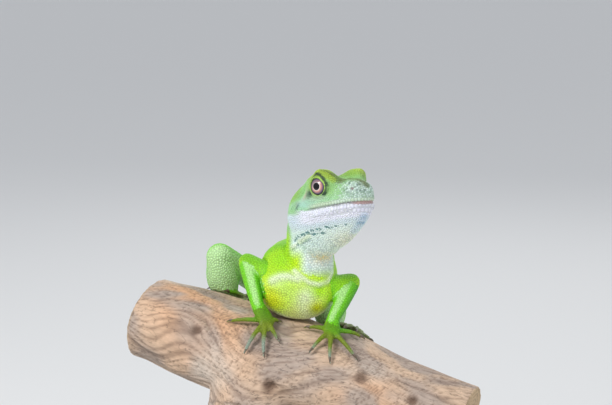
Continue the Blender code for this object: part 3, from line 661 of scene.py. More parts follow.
# Round marks on one side of the head: colour, middle, spread and share
EYE_MARKS = (
    (LID_GREEN, (21.2, 10.5, 3.6), (5.6, 4.0, 4.6), 0.9),
    (BROW_YELLOW, (22.0, 8.6, 9.2), (8.5, 3.4, 2.6), 1.3),
    (OLIVE, (16.0, 0.0, 8.2), (6.0, 3.5, 2.2), 0.5),
)
TEMPLE_MARKS = (
    (TAN_MARK, (12.6, 11.0, 0.8), (2.6, 4.0, 1.8), 0.9),
    (PATCH_GREY, (16.0, 11.0, 0.8), (2.4, 4.0, 1.4), 0.9),
    (DARK_MARK, (17.4, 11.0, 1.3), (1.3, 3.5, 1.3), 0.9),
    (DARK_MARK, (10.0, 12.0, -3.2), (0.9, 3.0, 1.3), 0.8),
)
NOSTRIL_MARKS = (
    (THROAT_CREAM, (34.6, 4.8, 1.9), (1.3, 2.5, 1.1), 0.6),
    (NOSTRIL_RED, (34.8, 4.6, 2.2), (0.55, 2.0, 0.5), 1.0),
)
# Patches on the chest and shoulders: place in the picture, spread, colour and share
CHEST_PATCHES = (
    (281.0, 259.4, 5.5, LIME, 1.0),
    (270.0, 248.5, 5.5, ink(160, 214, 70), 0.9),
    (281.2, 288.5, 4.2, ink(196, 240, 112), 0.8),
    (271.0, 299.5, 4.6, LEMON, 1.0),
    (262.0, 288.0, 2.4, APRICOT, 0.9),
    (309.3, 298.5, 4.6, BELLY_PALE, 0.95),
    (307.5, 312.0, 4.6, BELLY_PALE, 0.9),
    (320.5, 290.3, 4.0, ink(172, 230, 30), 0.9),
    (316.5, 308.0, 3.4, ink(204, 216, 24), 0.9),
    (293.5, 314.0, 4.0, ink(214, 224, 120), 0.6),
)
# Bands down each digit: colour, how far from the wrist it starts and is full, and share
FINGER_BANDS = (
    (WRIST_GREEN, 1.0, 4.0, 0.8), (FINGER_OLIVE, 4.0, 8.5, 0.95), (FINGER_TIP, 12.0, 16.5, 0.75),
)
TOE_BANDS = (*FINGER_BANDS, (TOE_PALE, 4.0, 9.0, 0.6))
# Which end of each node meets the trunk, where its colour runs into the flank's over the two distances
TRUNK_ENDS = {"upper_arm_right": 0, "upper_arm_left": 0, "thigh_right": 1, "thigh_left": 1}
LIMB_FADE = (8.0, 19.0)
# The way the forearms face where their painted highlight lies: up, towards the camera and the key light
FOREARM_HIGHLIGHT_WAY = (-0.15, -0.59, 0.79)
PATCH_STRENGTH = 1.15
STRIPE_APART = 13.0
BAND_APART = 19.0


def mix(under, over, share):
    share = np.clip(np.asarray(share, float), 0.0, 1.0)[..., None]
    return under * (1.0 - share) + over * share


def layered(ground, layers):
    """Lays colours over a ground in their order, each as thick as its share at each point."""
    for tone, share in layers:
        ground = mix(ground, tone, share)
    return ground


def marks(places, table):
    return [(tone, near(places, middle, spread) * share) for tone, middle, spread, share in table]


def line_distance(points, line):
    """How far each point is from the nearest part of a line of places."""
    best = np.full(len(points), np.inf)
    for start, end in zip(np.array(line[:-1]), np.array(line[1:])):
        run = end - start
        t = np.clip((points - start) @ run / (run @ run), 0.0, 1.0)
        best = np.minimum(best, np.linalg.norm(points - start - t[:, None] * run, axis=1))
    return best


def arc_distance(places):
    """How far each place on the head is from the dark arc, seen from the side."""
    flat = np.array((1.0, 0.3, 1.0))
    gap = line_distance(places * flat, np.array(DARK_ARC) * flat)
    return np.where(places[:, 1] > 5.5, gap, 9.0)


def spots(places, table):
    mask = np.zeros(len(places))
    for u, v, w, spread in table:
        mask = np.maximum(mask, near(places, (u, v, w), (spread * 1.2, spread * 2.0, spread * 0.56)))
    return ease(0.25, 0.6, mask)


def head_colours(body, points, chance):
    """The head's markings, with painted shade under the far brow and in the throat's crease, alike on both
    sides; chance is one seeded draw a point, for specks.
    """
    signed, places = to_head(points), one_side(points)
    u, w, over = places[:, 0], places[:, 2], over_mouth(places)
    near_brow = ease(2.2, 0.8, line_distance(signed, body.olive))
    far_brow = ease(1.5, 0.7, line_distance(signed * (1, -1, 1), body.olive)) * 0.4
    fold, crease = (line_distance(points, body.folds[which]) for which in (THROAT_FOLD, THROAT_CREASE))
    parted = ease(MOUTH_CORNER - 0.5, MOUTH_CORNER + 3.0, u) * (0.5 + 0.4 * ease(20.0, 32.0, u))
    at_front = ease(33.5, 36.5, u)
    mouth = ease(0.42, 0.16, np.abs(over + 0.2 * at_front) / (1.0 + 1.2 * at_front)) * parted
    return layered(HEAD_GREEN, [
        # Crown, cheek, throat, lips and snout
        (CROWN_GREEN, ease(5.0, 8.0, w) * ease(30.0, 24.0, u)),
        (MINT, near(places, (16.0, 11.0, -2.2), (11.0, 9.0, 2.6)) * 1.2),
        (PALE_CHEEK, ease(-0.6, -2.6, over) * ease(-2.0, 6.0, u)),
        (THROAT_CREAM, ease(-5.5, -9.0, over) * ease(-2.0, 4.0, u)),
        (LIP_GREEN, ease(2.4, 1.2, over) * ease(-0.4, 0.2, over) * ease(14.0, 20.0, u)),
        (SNOUT_GREY, ease(27.0, 36.0, u) * ease(0.4, 2.2, over) * ease(6.5, 4.0, w)),
        (LILAC, ease(0.1, -0.4, over) * ease(-6.0, -4.2, over) * ease(8.0, 14.0, u)),
        (LILAC_SHADE, (chance < 0.35) * ease(-0.2, -0.6, over) * ease(-4.6, -3.8, over)
         * ease(20.0, 26.0, u) * 0.2),
        # Round the eye, and the specks of the snout
        (EYE_FOLD, ease(1.3, 0.5, line_distance(places, UNDER_EYE)) * 0.85),
        *marks(places, EYE_MARKS),
        (DARK_MARK, (chance < 0.3) * ease(29.0, 33.0, u) * ease(2.4, 4.4, over) * 0.5),
        (THROAT_CREAM, (chance > 0.45) * ease(26.0, 30.0, u) * ease(0.4, 1.4, over)
         * ease(5.2, 4.2, w) * 0.45),
        # olive along the brow: partly its own colour, partly painted shade under the far brow, laid on both
        # sides
        (OLIVE, np.maximum(near_brow, far_brow) * (0.6 + 0.4 * chance)),
        (BROW_YELLOW, ease(1.5, 0.6, line_distance(signed, body.ridge)) * 0.65),
        *marks(places, TEMPLE_MARKS),
        (DARK_MARK, ease(0.75, 0.35, arc_distance(places)) * 0.85),
        # Jaw, chin and throat
        (TEAL, spots(places, TEAL_SPOTS) * np.where(chance > 0.3, 0.85, 0.25)),
        (THROAT_YELLOW, near(places, (25.0, 1.0, -16.5), (7.0, 4.5, 5.5)) * 0.8),
        (CHIN_PALE, ease(2.2, 0.5, line_distance(places, THROAT_EDGE)) * 0.5),
        *((CHIN_BLUE, near(places, place, (0.8, 0.9, 0.7)) * (0.3 + 0.5 * chance)) for place in CHIN_SPOTS),
        (IVORY, ease(1.3, 0.5, fold) * 0.6),
        # painted shadow: teal in the crease under the throat fold
        (TEAL, ease(0.9, 0.3, crease) * 0.3 * (chance > 0.35)),
        (TEAL, (chance < 0.2) * ease(-9.0, -12.0, over) * ease(2.0, 8.0, u) * 0.26),
        (THROAT_GOLD, near(places, (11.0, 1.0, -22.5), (5.0, 5.0, 2.6)) * (0.15 + 0.6 * chance)),
        # Nostrils, the mouth line, ear drums and nape
        *marks(places, NOSTRIL_MARKS),
        (mix(MOUTH_DARK, LIP_PINK, at_front), mouth),
        (TAN_MARK * 0.5, near(places, TYMPANUM_PLACE, (1.4, 3.0, 1.7)) * 0.55),
        (CROWN_GREEN, ease(7.0, 2.0, u) * ease(-4.0, 0.0, w) * 0.85),
    ])


def body_colours(body, points, names, normals, chance):
    """The markings of the trunk, limbs and tail, with painted shade and highlights on the limbs and a
    painted highlight along the pectoral fold.
    """
    y, z = points[:, 1], points[:, 2]
    left, front, up = normals[:, 0], -normals[:, 1], normals[:, 2]
    trunk = np.isin(names, ("torso", "neck", "tail_base"))
    hind = np.isin(names, HIND_LEGS)
    fore = np.isin(names, ("forearm_right", "forearm_left"))
    stripe = ease(0.35, 0.8, np.sin((y + 0.7 * z) * 2 * math.pi / STRIPE_APART))
    stripe = stripe * ease(-6.0, 2.0, y) * ease(44.0, 36.0, y)
    limb = 1.0 * (~trunk & ~np.isin(names, TAIL))
    for name, trunk_end in TRUNK_ENDS.items():
        here = names == name
        along = (points[here] - body.middle[name]) @ body.axis[name]
        limb[here] = ease(*LIMB_FADE, np.abs(along - body.reach[name][trunk_end]))
    c = layered(LIME, [
        (BACK_GREEN, ease(0.2, 0.85, up) * ease(-26.0, -16.0, y)),
        (STRIPE_PALE, stripe * trunk * ease(0.75, 0.35, np.abs(up)) * 0.8),
        (CHEST_YELLOW, trunk * ease(0.1, 0.7, front) * ease(-12.0, -18.0, y)),
        (BELLY_PALE, trunk * ease(0.35, 0.9, -up)),
        *(
            (tone, trunk * near(points, place, spread) * share * PATCH_STRENGTH)
            for (_, _, spread, tone, share), place in zip(CHEST_PATCHES, body.patches)
        ),
        # ivory along the collar fold is its own pale colour; along the pectoral fold it is a painted
        # highlight
        *(
            (IVORY, trunk * hill(line_distance(points, body.folds[which]), width) * 0.9)
            for which, width in ((COLLAR, 0.9), (PECTORAL_HIGHLIGHT, 1.7))
        ),
        (LIMB_GREEN, limb),
        # painted light: the hind legs paler where they face the front and the light
        (HIND_LEG_LIGHT, hind * ease(-0.1, 0.6, front) * 0.9),
        # painted shade on the limbs' sides that face away from the key light
        (LIMB_SHADE, limb * ~hind * ease(0.2, 0.9, left) * ease(0.8, 0.2, front) * 0.8),
        # painted highlight down the forearms, where they face up and towards the camera
        (FOREARM_HIGHLIGHT, fore * ease(0.78, 1.0, normals @ np.array(FOREARM_HIGHLIGHT_WAY)) * 0.8),
    ])
    for name in DIGITS:
        here = names == name
        far = np.linalg.norm(points[here] - body.start[name], axis=1)
        for tone, start, full, share in TOE_BANDS if name.startswith("foot") else FINGER_BANDS:
            c[here] = mix(c[here], tone, ease(start, full, far) * share)
    before = 0.0
    for name in TAIL:
        here = names == name
        along = before + body.along(points[here], name)
        before += np.ptp(body.reach[name])
        band = ease(-0.2, 0.5, np.sin(along * 2 * math.pi / BAND_APART))
        c[here] = layered(c[here], [
            (TAIL_GREEN, ease(20.0, 90.0, along)), (TAIL_BROWN, band * ease(30.0, 95.0, along) * 0.9),
        ])
    return c * (0.93 + 0.14 * chance[:, None])


def colours(body, points, names, normals, chance):
    """The markings, painted shade and painted highlights that the skin and its scales share."""
    u, v, w = to_head(points).T
    low = ease(195.0, 190.0, points[:, 2])
    lime_side = ease(5.0, 9.0, np.abs(v) - 0.45 * (u - 6.0)) * ease(-17.0, -23.0, w) * low
    on_head = np.isin(names, ("head", "neck")) * ease(-31.0, -25.5, w) * (1.0 - lime_side)
    nape = np.maximum(ease(-2.5, -6.0, u), ease(2.5, -2.0, u) * low) * ease(-9.0, -13.0, w)
    head = head_colours(body, points, chance)
    share = on_head * (1.0 - nape) + (names == "head") * nape * 0.3
    return mix(body_colours(body, points, names, normals, chance), head, share)


# Finishes

class Finish:
    """A material, its shader and short ways to add the steps before it."""

    def __init__(self, name, values):
        self.material = bpy.data.materials.new(name)
        self.material.use_nodes = True
        self.links = self.material.node_tree.links
        self.shader = self.material.node_tree.nodes["Principled BSDF"]
        for field, value in values.items():
            self.shader.inputs[field].default_value = value

    def step(self, kind, values=None, feeds=None):
        """A step of a kind, with plain values and other steps' outputs for its inputs."""
        made = self.material.node_tree.nodes.new("ShaderNode" + kind)
        for field, value in (values or {}).items():
            made.inputs[field].default_value = value
        for field, source in (feeds or {}).items():
            self.links.new(source, made.inputs[field])
        return made

    def give(self, field, source):
        self.links.new(source, self.shader.inputs[field])

    def carried(self, name, kind="Color"):
        """What each point carries under a name."""
        step = self.step("Attribute")
        step.attribute_name = name
        return step.outputs[kind]

    def uneven(self, group, scale):
        step = self.step("Group")
        step.node_tree = group
        step.inputs["Scale"].default_value = scale
        return step.outputs["Value"]

    def span(self, source, low, high):
        """A value from 0 to 1 spread between low and high."""
        return self.step("MapRange", {"To Min": low, "To Max": high}, {"Value": source}).outputs["Result"]

    def darken(self, under, over, share=1.0):
        """One colour multiplied by another."""
        step = self.step("Mix")
        step.data_type = "RGBA"
        step.blend_type = "MULTIPLY"
        step.inputs["Factor"].default_value = share
        self.links.new(under, step.inputs[6])
        self.links.new(over, step.inputs[7])
        return step.outputs[2]

    def roughen(self, height, strength, depth):
        values = {"Strength": strength, "Distance": depth * MM}
        self.give("Normal", self.step("Bump", values, {"Height": height}).outputs["Normal"])


def grain_group():
    """Fine unevenness shared by the finishes: a value around one half that changes over the surface."""
    group = bpy.data.node_groups.new("fine unevenness", "ShaderNodeTree")
    group.interface.new_socket("Scale", in_out="INPUT", socket_type="NodeSocketFloat")
    group.interface.new_socket("Value", in_out="OUTPUT", socket_type="NodeSocketFloat")
    start, end, place, noise = (
        group.nodes.new(kind)
        for kind in ("NodeGroupInput", "NodeGroupOutput", "ShaderNodeTexCoord", "ShaderNodeTexNoise")
    )
    noise.inputs["Detail"].default_value = 3.0
    group.links.new(place.outputs["Object"], noise.inputs["Vector"])
    group.links.new(start.outputs["Scale"], noise.inputs["Scale"])
    group.links.new(noise.outputs["Fac"], end.inputs["Value"])
    return group


def painted_finish(name, grain, roughness, gloss):
    """Skin and scales: the colours that each point carries, a little uneven, with a soft gloss."""
    finish = Finish(name, {
        "Specular IOR Level": 0.3, "Coat Weight": gloss, "Coat Roughness": 0.3, "Subsurface Weight": 0.12,
        "Subsurface Scale": 1.2 * MM, "Subsurface Radius": (0.7, 1.0, 0.35),
    })
    uneven = finish.uneven(grain, 900.0)
    finish.give("Base Color", finish.darken(finish.carried("tint"), finish.span(uneven, 0.86, 1.14)))
    finish.give("Roughness", finish.span(uneven, roughness - 0.08, roughness + 0.1))
    finish.roughen(finish.uneven(grain, 4200.0), 0.35, 0.05)
    return finish.material


def eye_finish():
    """Iris and pupil as each point carries them, under a clear wet surface."""
    finish = Finish("eye", {
        "Roughness": 0.25, "Specular IOR Level": 0.15, "Coat Weight": 0.55, "Coat Roughness": 0.03,
    })
    finish.give("Base Color", finish.carried("tint"))
    return finish.material


def metal_finish(name, grain, colour, roughness, metallic, scale):
    """Plain smooth finishes of one colour: steel, paint and claw."""
    finish = Finish(name, {"Base Color": (*colour, 1.0), "Metallic": metallic})
    uneven = finish.uneven(grain, scale)
    finish.give("Roughness", finish.span(uneven, roughness - 0.1, roughness + 0.1))
    finish.roughen(uneven, 0.25, 0.05)
    return finish.material


# Eyes

# Colours of the eye by the angle in degrees from the middle of the pupil
IRIS_KEYS = (
    (0.0, ink(2, 2, 3)), (18.4, ink(3, 2, 4)), (19.3, ink(226, 214, 210)), (21.4, ink(212, 180, 172)),
    (24.6, ink(200, 148, 130)), (29.0, ink(176, 122, 116)), (33.0, ink(124, 102, 118)),
    (37.5, ink(78, 70, 92)), (43.0, ink(26, 24, 32)), (90.0, ink(18, 16, 20)), (180.0, ink(18, 16, 20)),
)
IRIS_LID_SHADOW = ink(118, 104, 124)
# Where the pupil ends, the iris starts, its upper part darkens under the lid's painted shadow, its rim
# starts, its rays and it end
PUPIL_EDGE = 18.4
IRIS_START = 19.3
IRIS_SHADED = 20.4
IRIS_RIM = 34.0
RAYS_END = 38.0
IRIS_END = 41.0
EYE_RINGS = 90
EYE_SIDES = 96


def eye_place(side):
    """The middle of the eyeball on a side of the head, and the way that it looks."""
    turn = math.radians(EYE_TURN)
    gaze = np.array((math.sin(turn), side * math.cos(turn), 0.0)) @ HEAD_AXES
    return from_head((EYE_PLACE[0], EYE_PLACE[1] * side, EYE_PLACE[2])), gaze


def iris_tints(angle, around):
    """The eye's colours round one ring: the keys wander a little, and the upper part is darker with a
    painted shadow of the upper lid.
    """
    degrees = math.degrees(angle)
    wave = 0.5 * np.sin(around * 23 + angle * 40) + 0.5 * np.sin(around * 37 - angle * 25)
    wander = degrees + wave * 0.8 * (IRIS_START < degrees < IRIS_END)
    angles, keys = zip(*IRIS_KEYS)
    tint = np.stack([np.interp(wander, angles, column) for column in np.array(keys).T], axis=1)
    over = ease(-0.1, 1.0, np.sin(around + 0.5))
    # painted shadow of the upper lid: the upper part greyer and darker, most over the rim
    top = IRIS_LID_SHADOW * (0.6 if degrees > IRIS_RIM else 1.0)
    tint = mix(tint, top, over * 0.65 * (degrees > IRIS_SHADED))
    shade = (1.0 - 0.25 * over * (degrees > PUPIL_EDGE))[:, None]
    return tint * shade * (1.0 + 0.12 * wave[:, None] * (IRIS_START < degrees < RAYS_END))


def make_eye(name, side, finish):
    """An eyeball with its pole on the middle of the pupil, so that iris and pupil are true circles."""
    centre, gaze = eye_place(side)
    across = unit(np.cross(gaze, HEAD_AXES[2]))
    upward = np.cross(across, gaze)
    around = full_turn(EYE_SIDES)
    points, tints = [centre + gaze * EYE_RADIUS], [IRIS_KEYS[0][1]]
    for angle in (np.linspace(0.0, 1.0, EYE_RINGS) ** 1.4 * math.pi)[1:-1]:
        out = math.cos(angle) * gaze + math.sin(angle) * ring(around, across, upward)
        points += list(centre + out * EYE_RADIUS)
        tints += list(iris_tints(angle, around))
    points.append(centre - gaze * EYE_RADIUS)
    tints.append(IRIS_KEYS[-1][1])
    rings = EYE_RINGS - 2
    faces = [tuple(k + 1 for k in face) for face in ring_faces(rings, EYE_SIDES)]
    last = 1 + (rings - 1) * EYE_SIDES
    for k in range(EYE_SIDES):
        j = (k + 1) % EYE_SIDES
        faces += [(0, 1 + k, 1 + j), (last + j, last + k, len(points) - 1)]
    eye = mesh_object(name, points, faces, finish)
    outward(eye)
    paint(eye, np.array(tints))
    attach(eye, "root")
    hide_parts(name.replace("eyeball", "eye"))
    return eye


# The edge of the eye's opening: degrees round the eye from its front, and from the pupil's middle
LID_EDGE = (
    (0.0, 40.0), (45.0, 34.5), (90.0, 41.0), (125.0, 47.0), (160.0, 44.0), (180.0, 42.0), (225.0, 44.0),
    (270.0, 46.0), (315.0, 43.0), (360.0, 40.0),
)
# The lids' section outward from that edge: degrees on from it, how far over the eyeball and how light,
# darker as painted shade at the rim against the eyeball and in the groove between the folds
LID_SECTION = (
    (0.0, -0.12, 0.25), (-0.4, 0.1, 0.3), (0.6, 0.3, 0.75), (3.0, 0.42, 1.0), (5.5, 0.4, 1.0),
    (7.5, 0.24, 0.5), (9.5, 0.42, 1.0), (13.0, 0.5, 1.0), (17.0, 0.36, 0.95), (21.0, 0.05, 0.9),
    (24.0, -0.35, 0.9), (10.0, -0.35, 0.9),
)
LID_SIDES = 96


def make_lids(name, side, finish):
    """Upper and lower lid as one closed ring over the eyeball, with a fold round it."""
    centre, gaze = eye_place(side)
    front = unit(HEAD_AXES[0] - gaze * (HEAD_AXES[0] @ gaze))
    points, tints = [], []
    for turned in full_turn(LID_SIDES):
        edge = np.interp(math.degrees(turned), *zip(*LID_EDGE))
        way = front * math.cos(turned) + HEAD_AXES[2] * math.sin(turned)
        for onward, high, painted_light in LID_SECTION:
            angle = math.radians(edge + onward)
            points.append(centre + (gaze * math.cos(angle) + way * math.sin(angle)) * (EYE_RADIUS + high))
            # lid green darkened as painted shade at the rim and in the fold's groove
            tints.append(LID_GREEN * painted_light)
    lids = mesh_object(name, points, ring_faces(LID_SIDES, len(LID_SECTION), closed=True), finish)
    outward(lids)
    paint(lids, np.array(tints))
    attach(lids, "root")


# Scales

# How far apart scales stand on each part, and how much further on throat, nape and back
HEAD_SPACING = 0.54
LID_SPACING = 0.4
SNOUT_SPACING = 0.62
BODY_SPACING = 0.78
NEAR_SPACING = 0.68
HAND_SPACING = 0.56
THICK_TAIL_SPACING = 0.8
THIN_TAIL_SPACING = 0.55
HEAD_WIDENING = 0.12
NECK_WIDENING = 0.04
BACK_WIDENING = 0.1
# The lids' scales lie round a place beside the eye's, on an oval
LID_SHIFT = (1.3, 3.2, 0.0)
LID_OVAL = (1.0, 0.6, 0.85)
# The snout's side: where it starts, its least height over the mouth line and its top
SNOUT_START = 27.5
SNOUT_LOW = 1.3
SNOUT_TOP = 5.2
# How high scales stand, how far they lean back, how light their edges stay under the painted shade between
# scales (on the snout also its dark specks), and how light the lips' plates are
HEAD_RISE = 0.14
BODY_RISE = 0.075
HEAD_LEAN = 0.15
BODY_LEAN = 0.7
HEAD_EDGE_SHADE = 0.84
BODY_EDGE_SHADE = 0.87
SNOUT_EDGE_SPECKS_AND_SHADE = 0.62
PLATE_EDGE_SHADE = 0.9
PLATE_SHADE = 0.9
# How many places are drawn for each one wanted, and how many neighbours bound a scale
CANDIDATES = 7
NEIGHBOURS = 12
# A scale's area as a share of its spacing squared, and its furthest and nearest reach
CELL_SHARE = 0.87
MOST_REACH = 0.78
LEAST_BORDER = 0.08
LEAST_TOWARD = 0.15
# A scale's rings: root depth, and the root's, shoulder's and crown's shares of its reach, height and lean
SCALE_SIDES = 8
SCALE_ROOT = 0.16
ROOT_REACH = 0.97
SHOULDER_REACH = 0.8
SHOULDER_HEIGHT = 0.62
SHOULDER_LEAN = 0.5
CROWN_LEAN = 0.35
PIECE_LIMIT = 190000
# How wide a scale is in the unwrap
PATCH = 0.003
# Rows of lip plates: height over the mouth line, spacing, where each starts, how far it stands out
LIP_ROWS = ((0.85, 1.2, 17.0, 0.17), (-1.25, 1.45, 26.0, 0.03), (-2.9, 1.6, 23.5, 0.03))
LIP_FAN = 30.5
LIP_STEP = 0.3
LIP_GAP = 0.2
PLATE_REACH = 0.72


def on_snout(points):
    """Whether each point is on the sides of the snout, where pale scales stand apart."""
    places = to_head(points)
    return (places[:, 0] > SNOUT_START) & (over_mouth(places) > SNOUT_LOW) & (places[:, 2] < SNOUT_TOP)


def scale_spacing(points, names):
    """How far apart scales stand: finest on the lids, the snout's side and the digits."""
    places = one_side(points)
    spacing = BODY_SPACING + (NEAR_SPACING - BODY_SPACING) * ease(0.0, -14.0, points[:, 1])
    spacing = spacing + BACK_WIDENING * ease(30.0, 60.0, points[:, 1])
    on_head = HEAD_SPACING + HEAD_WIDENING * ease(-12.0, -17.0, places[:, 2])
    on_head = on_head + HEAD_WIDENING * ease(0.0, -8.0, places[:, 0])
    eye = np.linalg.norm((places - np.array(EYE_PLACE) - LID_SHIFT) * LID_OVAL, axis=1)
    on_head = on_head + (LID_SPACING - on_head) * ease(4.9, 3.9, eye)
    on_head[on_snout(points)] = SNOUT_SPACING
    head, neck = names == "head", names == "neck"
    spacing[head] = on_head[head]
    spacing[neck] = on_head[neck] + NECK_WIDENING
    spacing[np.isin(names, DIGITS)] = HAND_SPACING
    spacing[names == "tail_lower"] = THICK_TAIL_SPACING
    spacing[names == "tail_tip"] = THIN_TAIL_SPACING
    return spacing


def rows_at(far, run, rows):
    """Rows of numbers of a line, read at distances along it."""
    return np.stack([np.interp(far, run, column) for column in rows.T], axis=1)


def lip_row(tree, rise, spacing, first):
    """Places evenly apart along both lips, from the middle of the snout's tip back to the row's start."""
    places, normals = [], []
    for side in (-1, 1):
        hits, ways = [], []
        turns = [(LIP_FAN, turn) for turn in np.linspace(0.0, 90.0, 46)]
        for u, turn in turns + [(u, 90.0) for u in np.arange(LIP_FAN - LIP_STEP, first, -LIP_STEP)]:
            turn = math.radians(turn)
            way = np.array((math.cos(turn), side * math.sin(turn), 0.0)) @ HEAD_AXES
            w = mouth_height(u) + rise
            for _ in range(2):
                hit, normal, _, _ = tree.ray_cast(from_head((u, 0.0, w)), way)
                w = mouth_height(to_head(hit)[0]) + rise
            hits.append(hit)
            ways.append(normal)
        run = run_along(np.array(hits))
        far = np.arange(spacing / 2, run[-1], spacing)
        places.append(rows_at(far, run, np.array(hits)))
        normals.append(unit(rows_at(far, run, np.array(ways))))
    return np.concatenate(places), np.concatenate(normals)


def lip_gap(places, ahead, aside, reach):
    """Plates beside the mouth line stop short of it, so that the line stays open."""
    own = to_head(places)
    over = over_mouth(own)
    beside = (np.abs(over) < 3.0) & (own[:, 0] > MOUTH_CORNER)
    room = np.maximum(np.abs(over) - LIP_GAP, 0.05)
    for k, turn in enumerate(full_turn(SCALE_SIDES)):
        ends = places + (ahead * math.cos(turn) + aside * math.sin(turn)) * reach[:, k : k + 1]
        need = (over - over_mouth(to_head(ends))) * np.where(over >= 0, 1.0, -1.0)
        crossing = beside & (need > room)
        reach[crossing, k] *= (room / np.maximum(need, 1e-6))[crossing]
    return reach


def draw_places(skin, body):
    """Seeded places all over the skin, denser where scales stand closer, with their normals and nodes."""
    points, normals, corners = read_points(skin), read_normals(skin), read_triangles(skin)
    a, b, c = (points[corners[:, k]] for k in range(3))
    area = np.linalg.norm(np.cross(b - a, c - a), axis=1) / 2
    names = body.names_at(points)
    spacing = scale_spacing(points, names)[corners].mean(axis=1)
    wanted = area / (CELL_SHARE * spacing**2)
    count = int(wanted.sum() * CANDIDATES)
    chosen = corners[RNG.choice(len(corners), size=count, p=wanted / wanted.sum())]
    r, s = np.sqrt(RNG.random(count)), RNG.random(count)
    share = np.stack((1 - r, r * (1 - s), r * s), axis=1)
    places = (points[chosen] * share[:, :, None]).sum(axis=1)
    upright = unit((normals[chosen] * share[:, :, None]).sum(axis=1))
    return places, upright, names[chosen[np.arange(count), share.argmax(axis=1)]]


def place_tree(places):
    tree = KDTree(len(places))
    for n, place in enumerate(places.tolist()):
        tree.insert(place, n)
    tree.balance()
    return tree


def thinned(places, spacing, seeds, seed_reach):
    """Which places are kept, so that no two, and none and a seed, stand nearer than their spacing."""
    tree = place_tree(places)
    gone = np.zeros(len(places), bool)
    for place, reach in zip(seeds, seed_reach):
        for _, n, _ in tree.find_range(place, reach):
            gone[n] = True
    kept = []
    for n in range(len(places)):
        if not gone[n]:
            kept.append(n)
            for _, other, _ in tree.find_range(places[n], spacing[n]):
                gone[other] = True
    return np.array(kept)


def cell_reach(places, ahead, aside, spacing):
    """How far each scale reaches each way before it meets a neighbour, larger scales past half way."""
    tree = place_tree(places)
    found = [tree.find_n(place, NEIGHBOURS + 1)[1:] for place in places.tolist()]
    index = np.array([[n for _, n, _ in neighbours] for neighbours in found])
    away = places[index] - places[:, None, :]
    east = (away * ahead[:, None, :]).sum(axis=2)
    north = (away * aside[:, None, :]).sum(axis=2)
    far = np.hypot(east, north) + 1e-6
    border = (far + (spacing[:, None] ** 2 - spacing[index] ** 2) / 4 / far) / 2
    reach = np.tile((spacing * MOST_REACH)[:, None], (1, SCALE_SIDES))
    for k, turn in enumerate(full_turn(SCALE_SIDES)):
        toward = (east * math.cos(turn) + north * math.sin(turn)) / far
        bound = np.maximum(border, LEAST_BORDER) / np.maximum(toward, LEAST_TOWARD)
        bound = np.where(toward > LEAST_TOWARD, bound, np.inf)
        reach[:, k] = np.minimum(reach[:, k], bound.min(axis=1))
    return reach


def scale_points(scales):
    """The points of each scale: a sunk root ring, a shoulder ring, a crown point and one under it."""
    places, normals, heights, lean = scales["places"], scales["normals"], scales["heights"], scales["lean"]
    ahead, reach = scales["ahead"], scales["reach"]
    around = full_turn(SCALE_SIDES)[None, :, None]
    spoke = ahead[:, None, :] * np.cos(around) + scales["aside"][:, None, :] * np.sin(around)
    root = places[:, None, :] + spoke * (reach * ROOT_REACH)[:, :, None] - normals[:, None, :] * SCALE_ROOT
    high = heights[:, None, None] * (SHOULDER_HEIGHT + lean[:, None, None] * SHOULDER_LEAN * np.cos(around))
    shoulder = places[:, None, :] + spoke * (reach * SHOULDER_REACH)[:, :, None] + normals[:, None, :] * high
    crown = places + normals * heights[:, None] + ahead * (reach.mean(axis=1) * lean * CROWN_LEAN)[:, None]
    under = places - normals * SCALE_ROOT
    return np.concatenate((root, shoulder, crown[:, None, :], under[:, None, :]), axis=1)


def build_scales(name, scales, finish):
    """Joined meshes of low domes, each below a piece's limit of triangles."""
    points = scale_points(scales)
    count, each, _ = points.shape
    faces = []
    for k in range(SCALE_SIDES):
        j = (k + 1) % SCALE_SIDES
        faces += [(k, j, SCALE_SIDES + j), (k, SCALE_SIDES + j, SCALE_SIDES + k)]
        faces += [(SCALE_SIDES + k, SCALE_SIDES + j, 2 * SCALE_SIDES), (j, k, 2 * SCALE_SIDES + 1)]
    tints = np.repeat(scales["tints"][:, None, :], each, axis=1)
    # the root ring darkened: painted shade between the scales, on the snout also its dark specks
    tints[:, :SCALE_SIDES] *= scales["edge"][:, None, None]
    around = full_turn(SCALE_SIDES)
    local = np.zeros((each, 2))
    local[:SCALE_SIDES] = np.stack((np.cos(around), np.sin(around)), axis=1) * PATCH / 2
    local[SCALE_SIDES : 2 * SCALE_SIDES] = local[:SCALE_SIDES] * 0.7
    laid = scales["unwrap"][:, None, :] + local
    limit = PIECE_LIMIT // len(faces)
    for part, start in enumerate(range(0, count, limit)):
        rows = slice(start, start + limit)
        first = np.arange(len(points[rows]))[:, None, None] * each
        triangles = (np.array(faces) + first).reshape(-1, 3)
        piece = mesh_object(f"{name}_{part + 1}", points[rows].reshape(-1, 3), triangles, finish)
        paint(piece, tints[rows].reshape(-1, 3))
        lay_out(piece, laid[rows].reshape(-1, 2))
        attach(piece, "root")


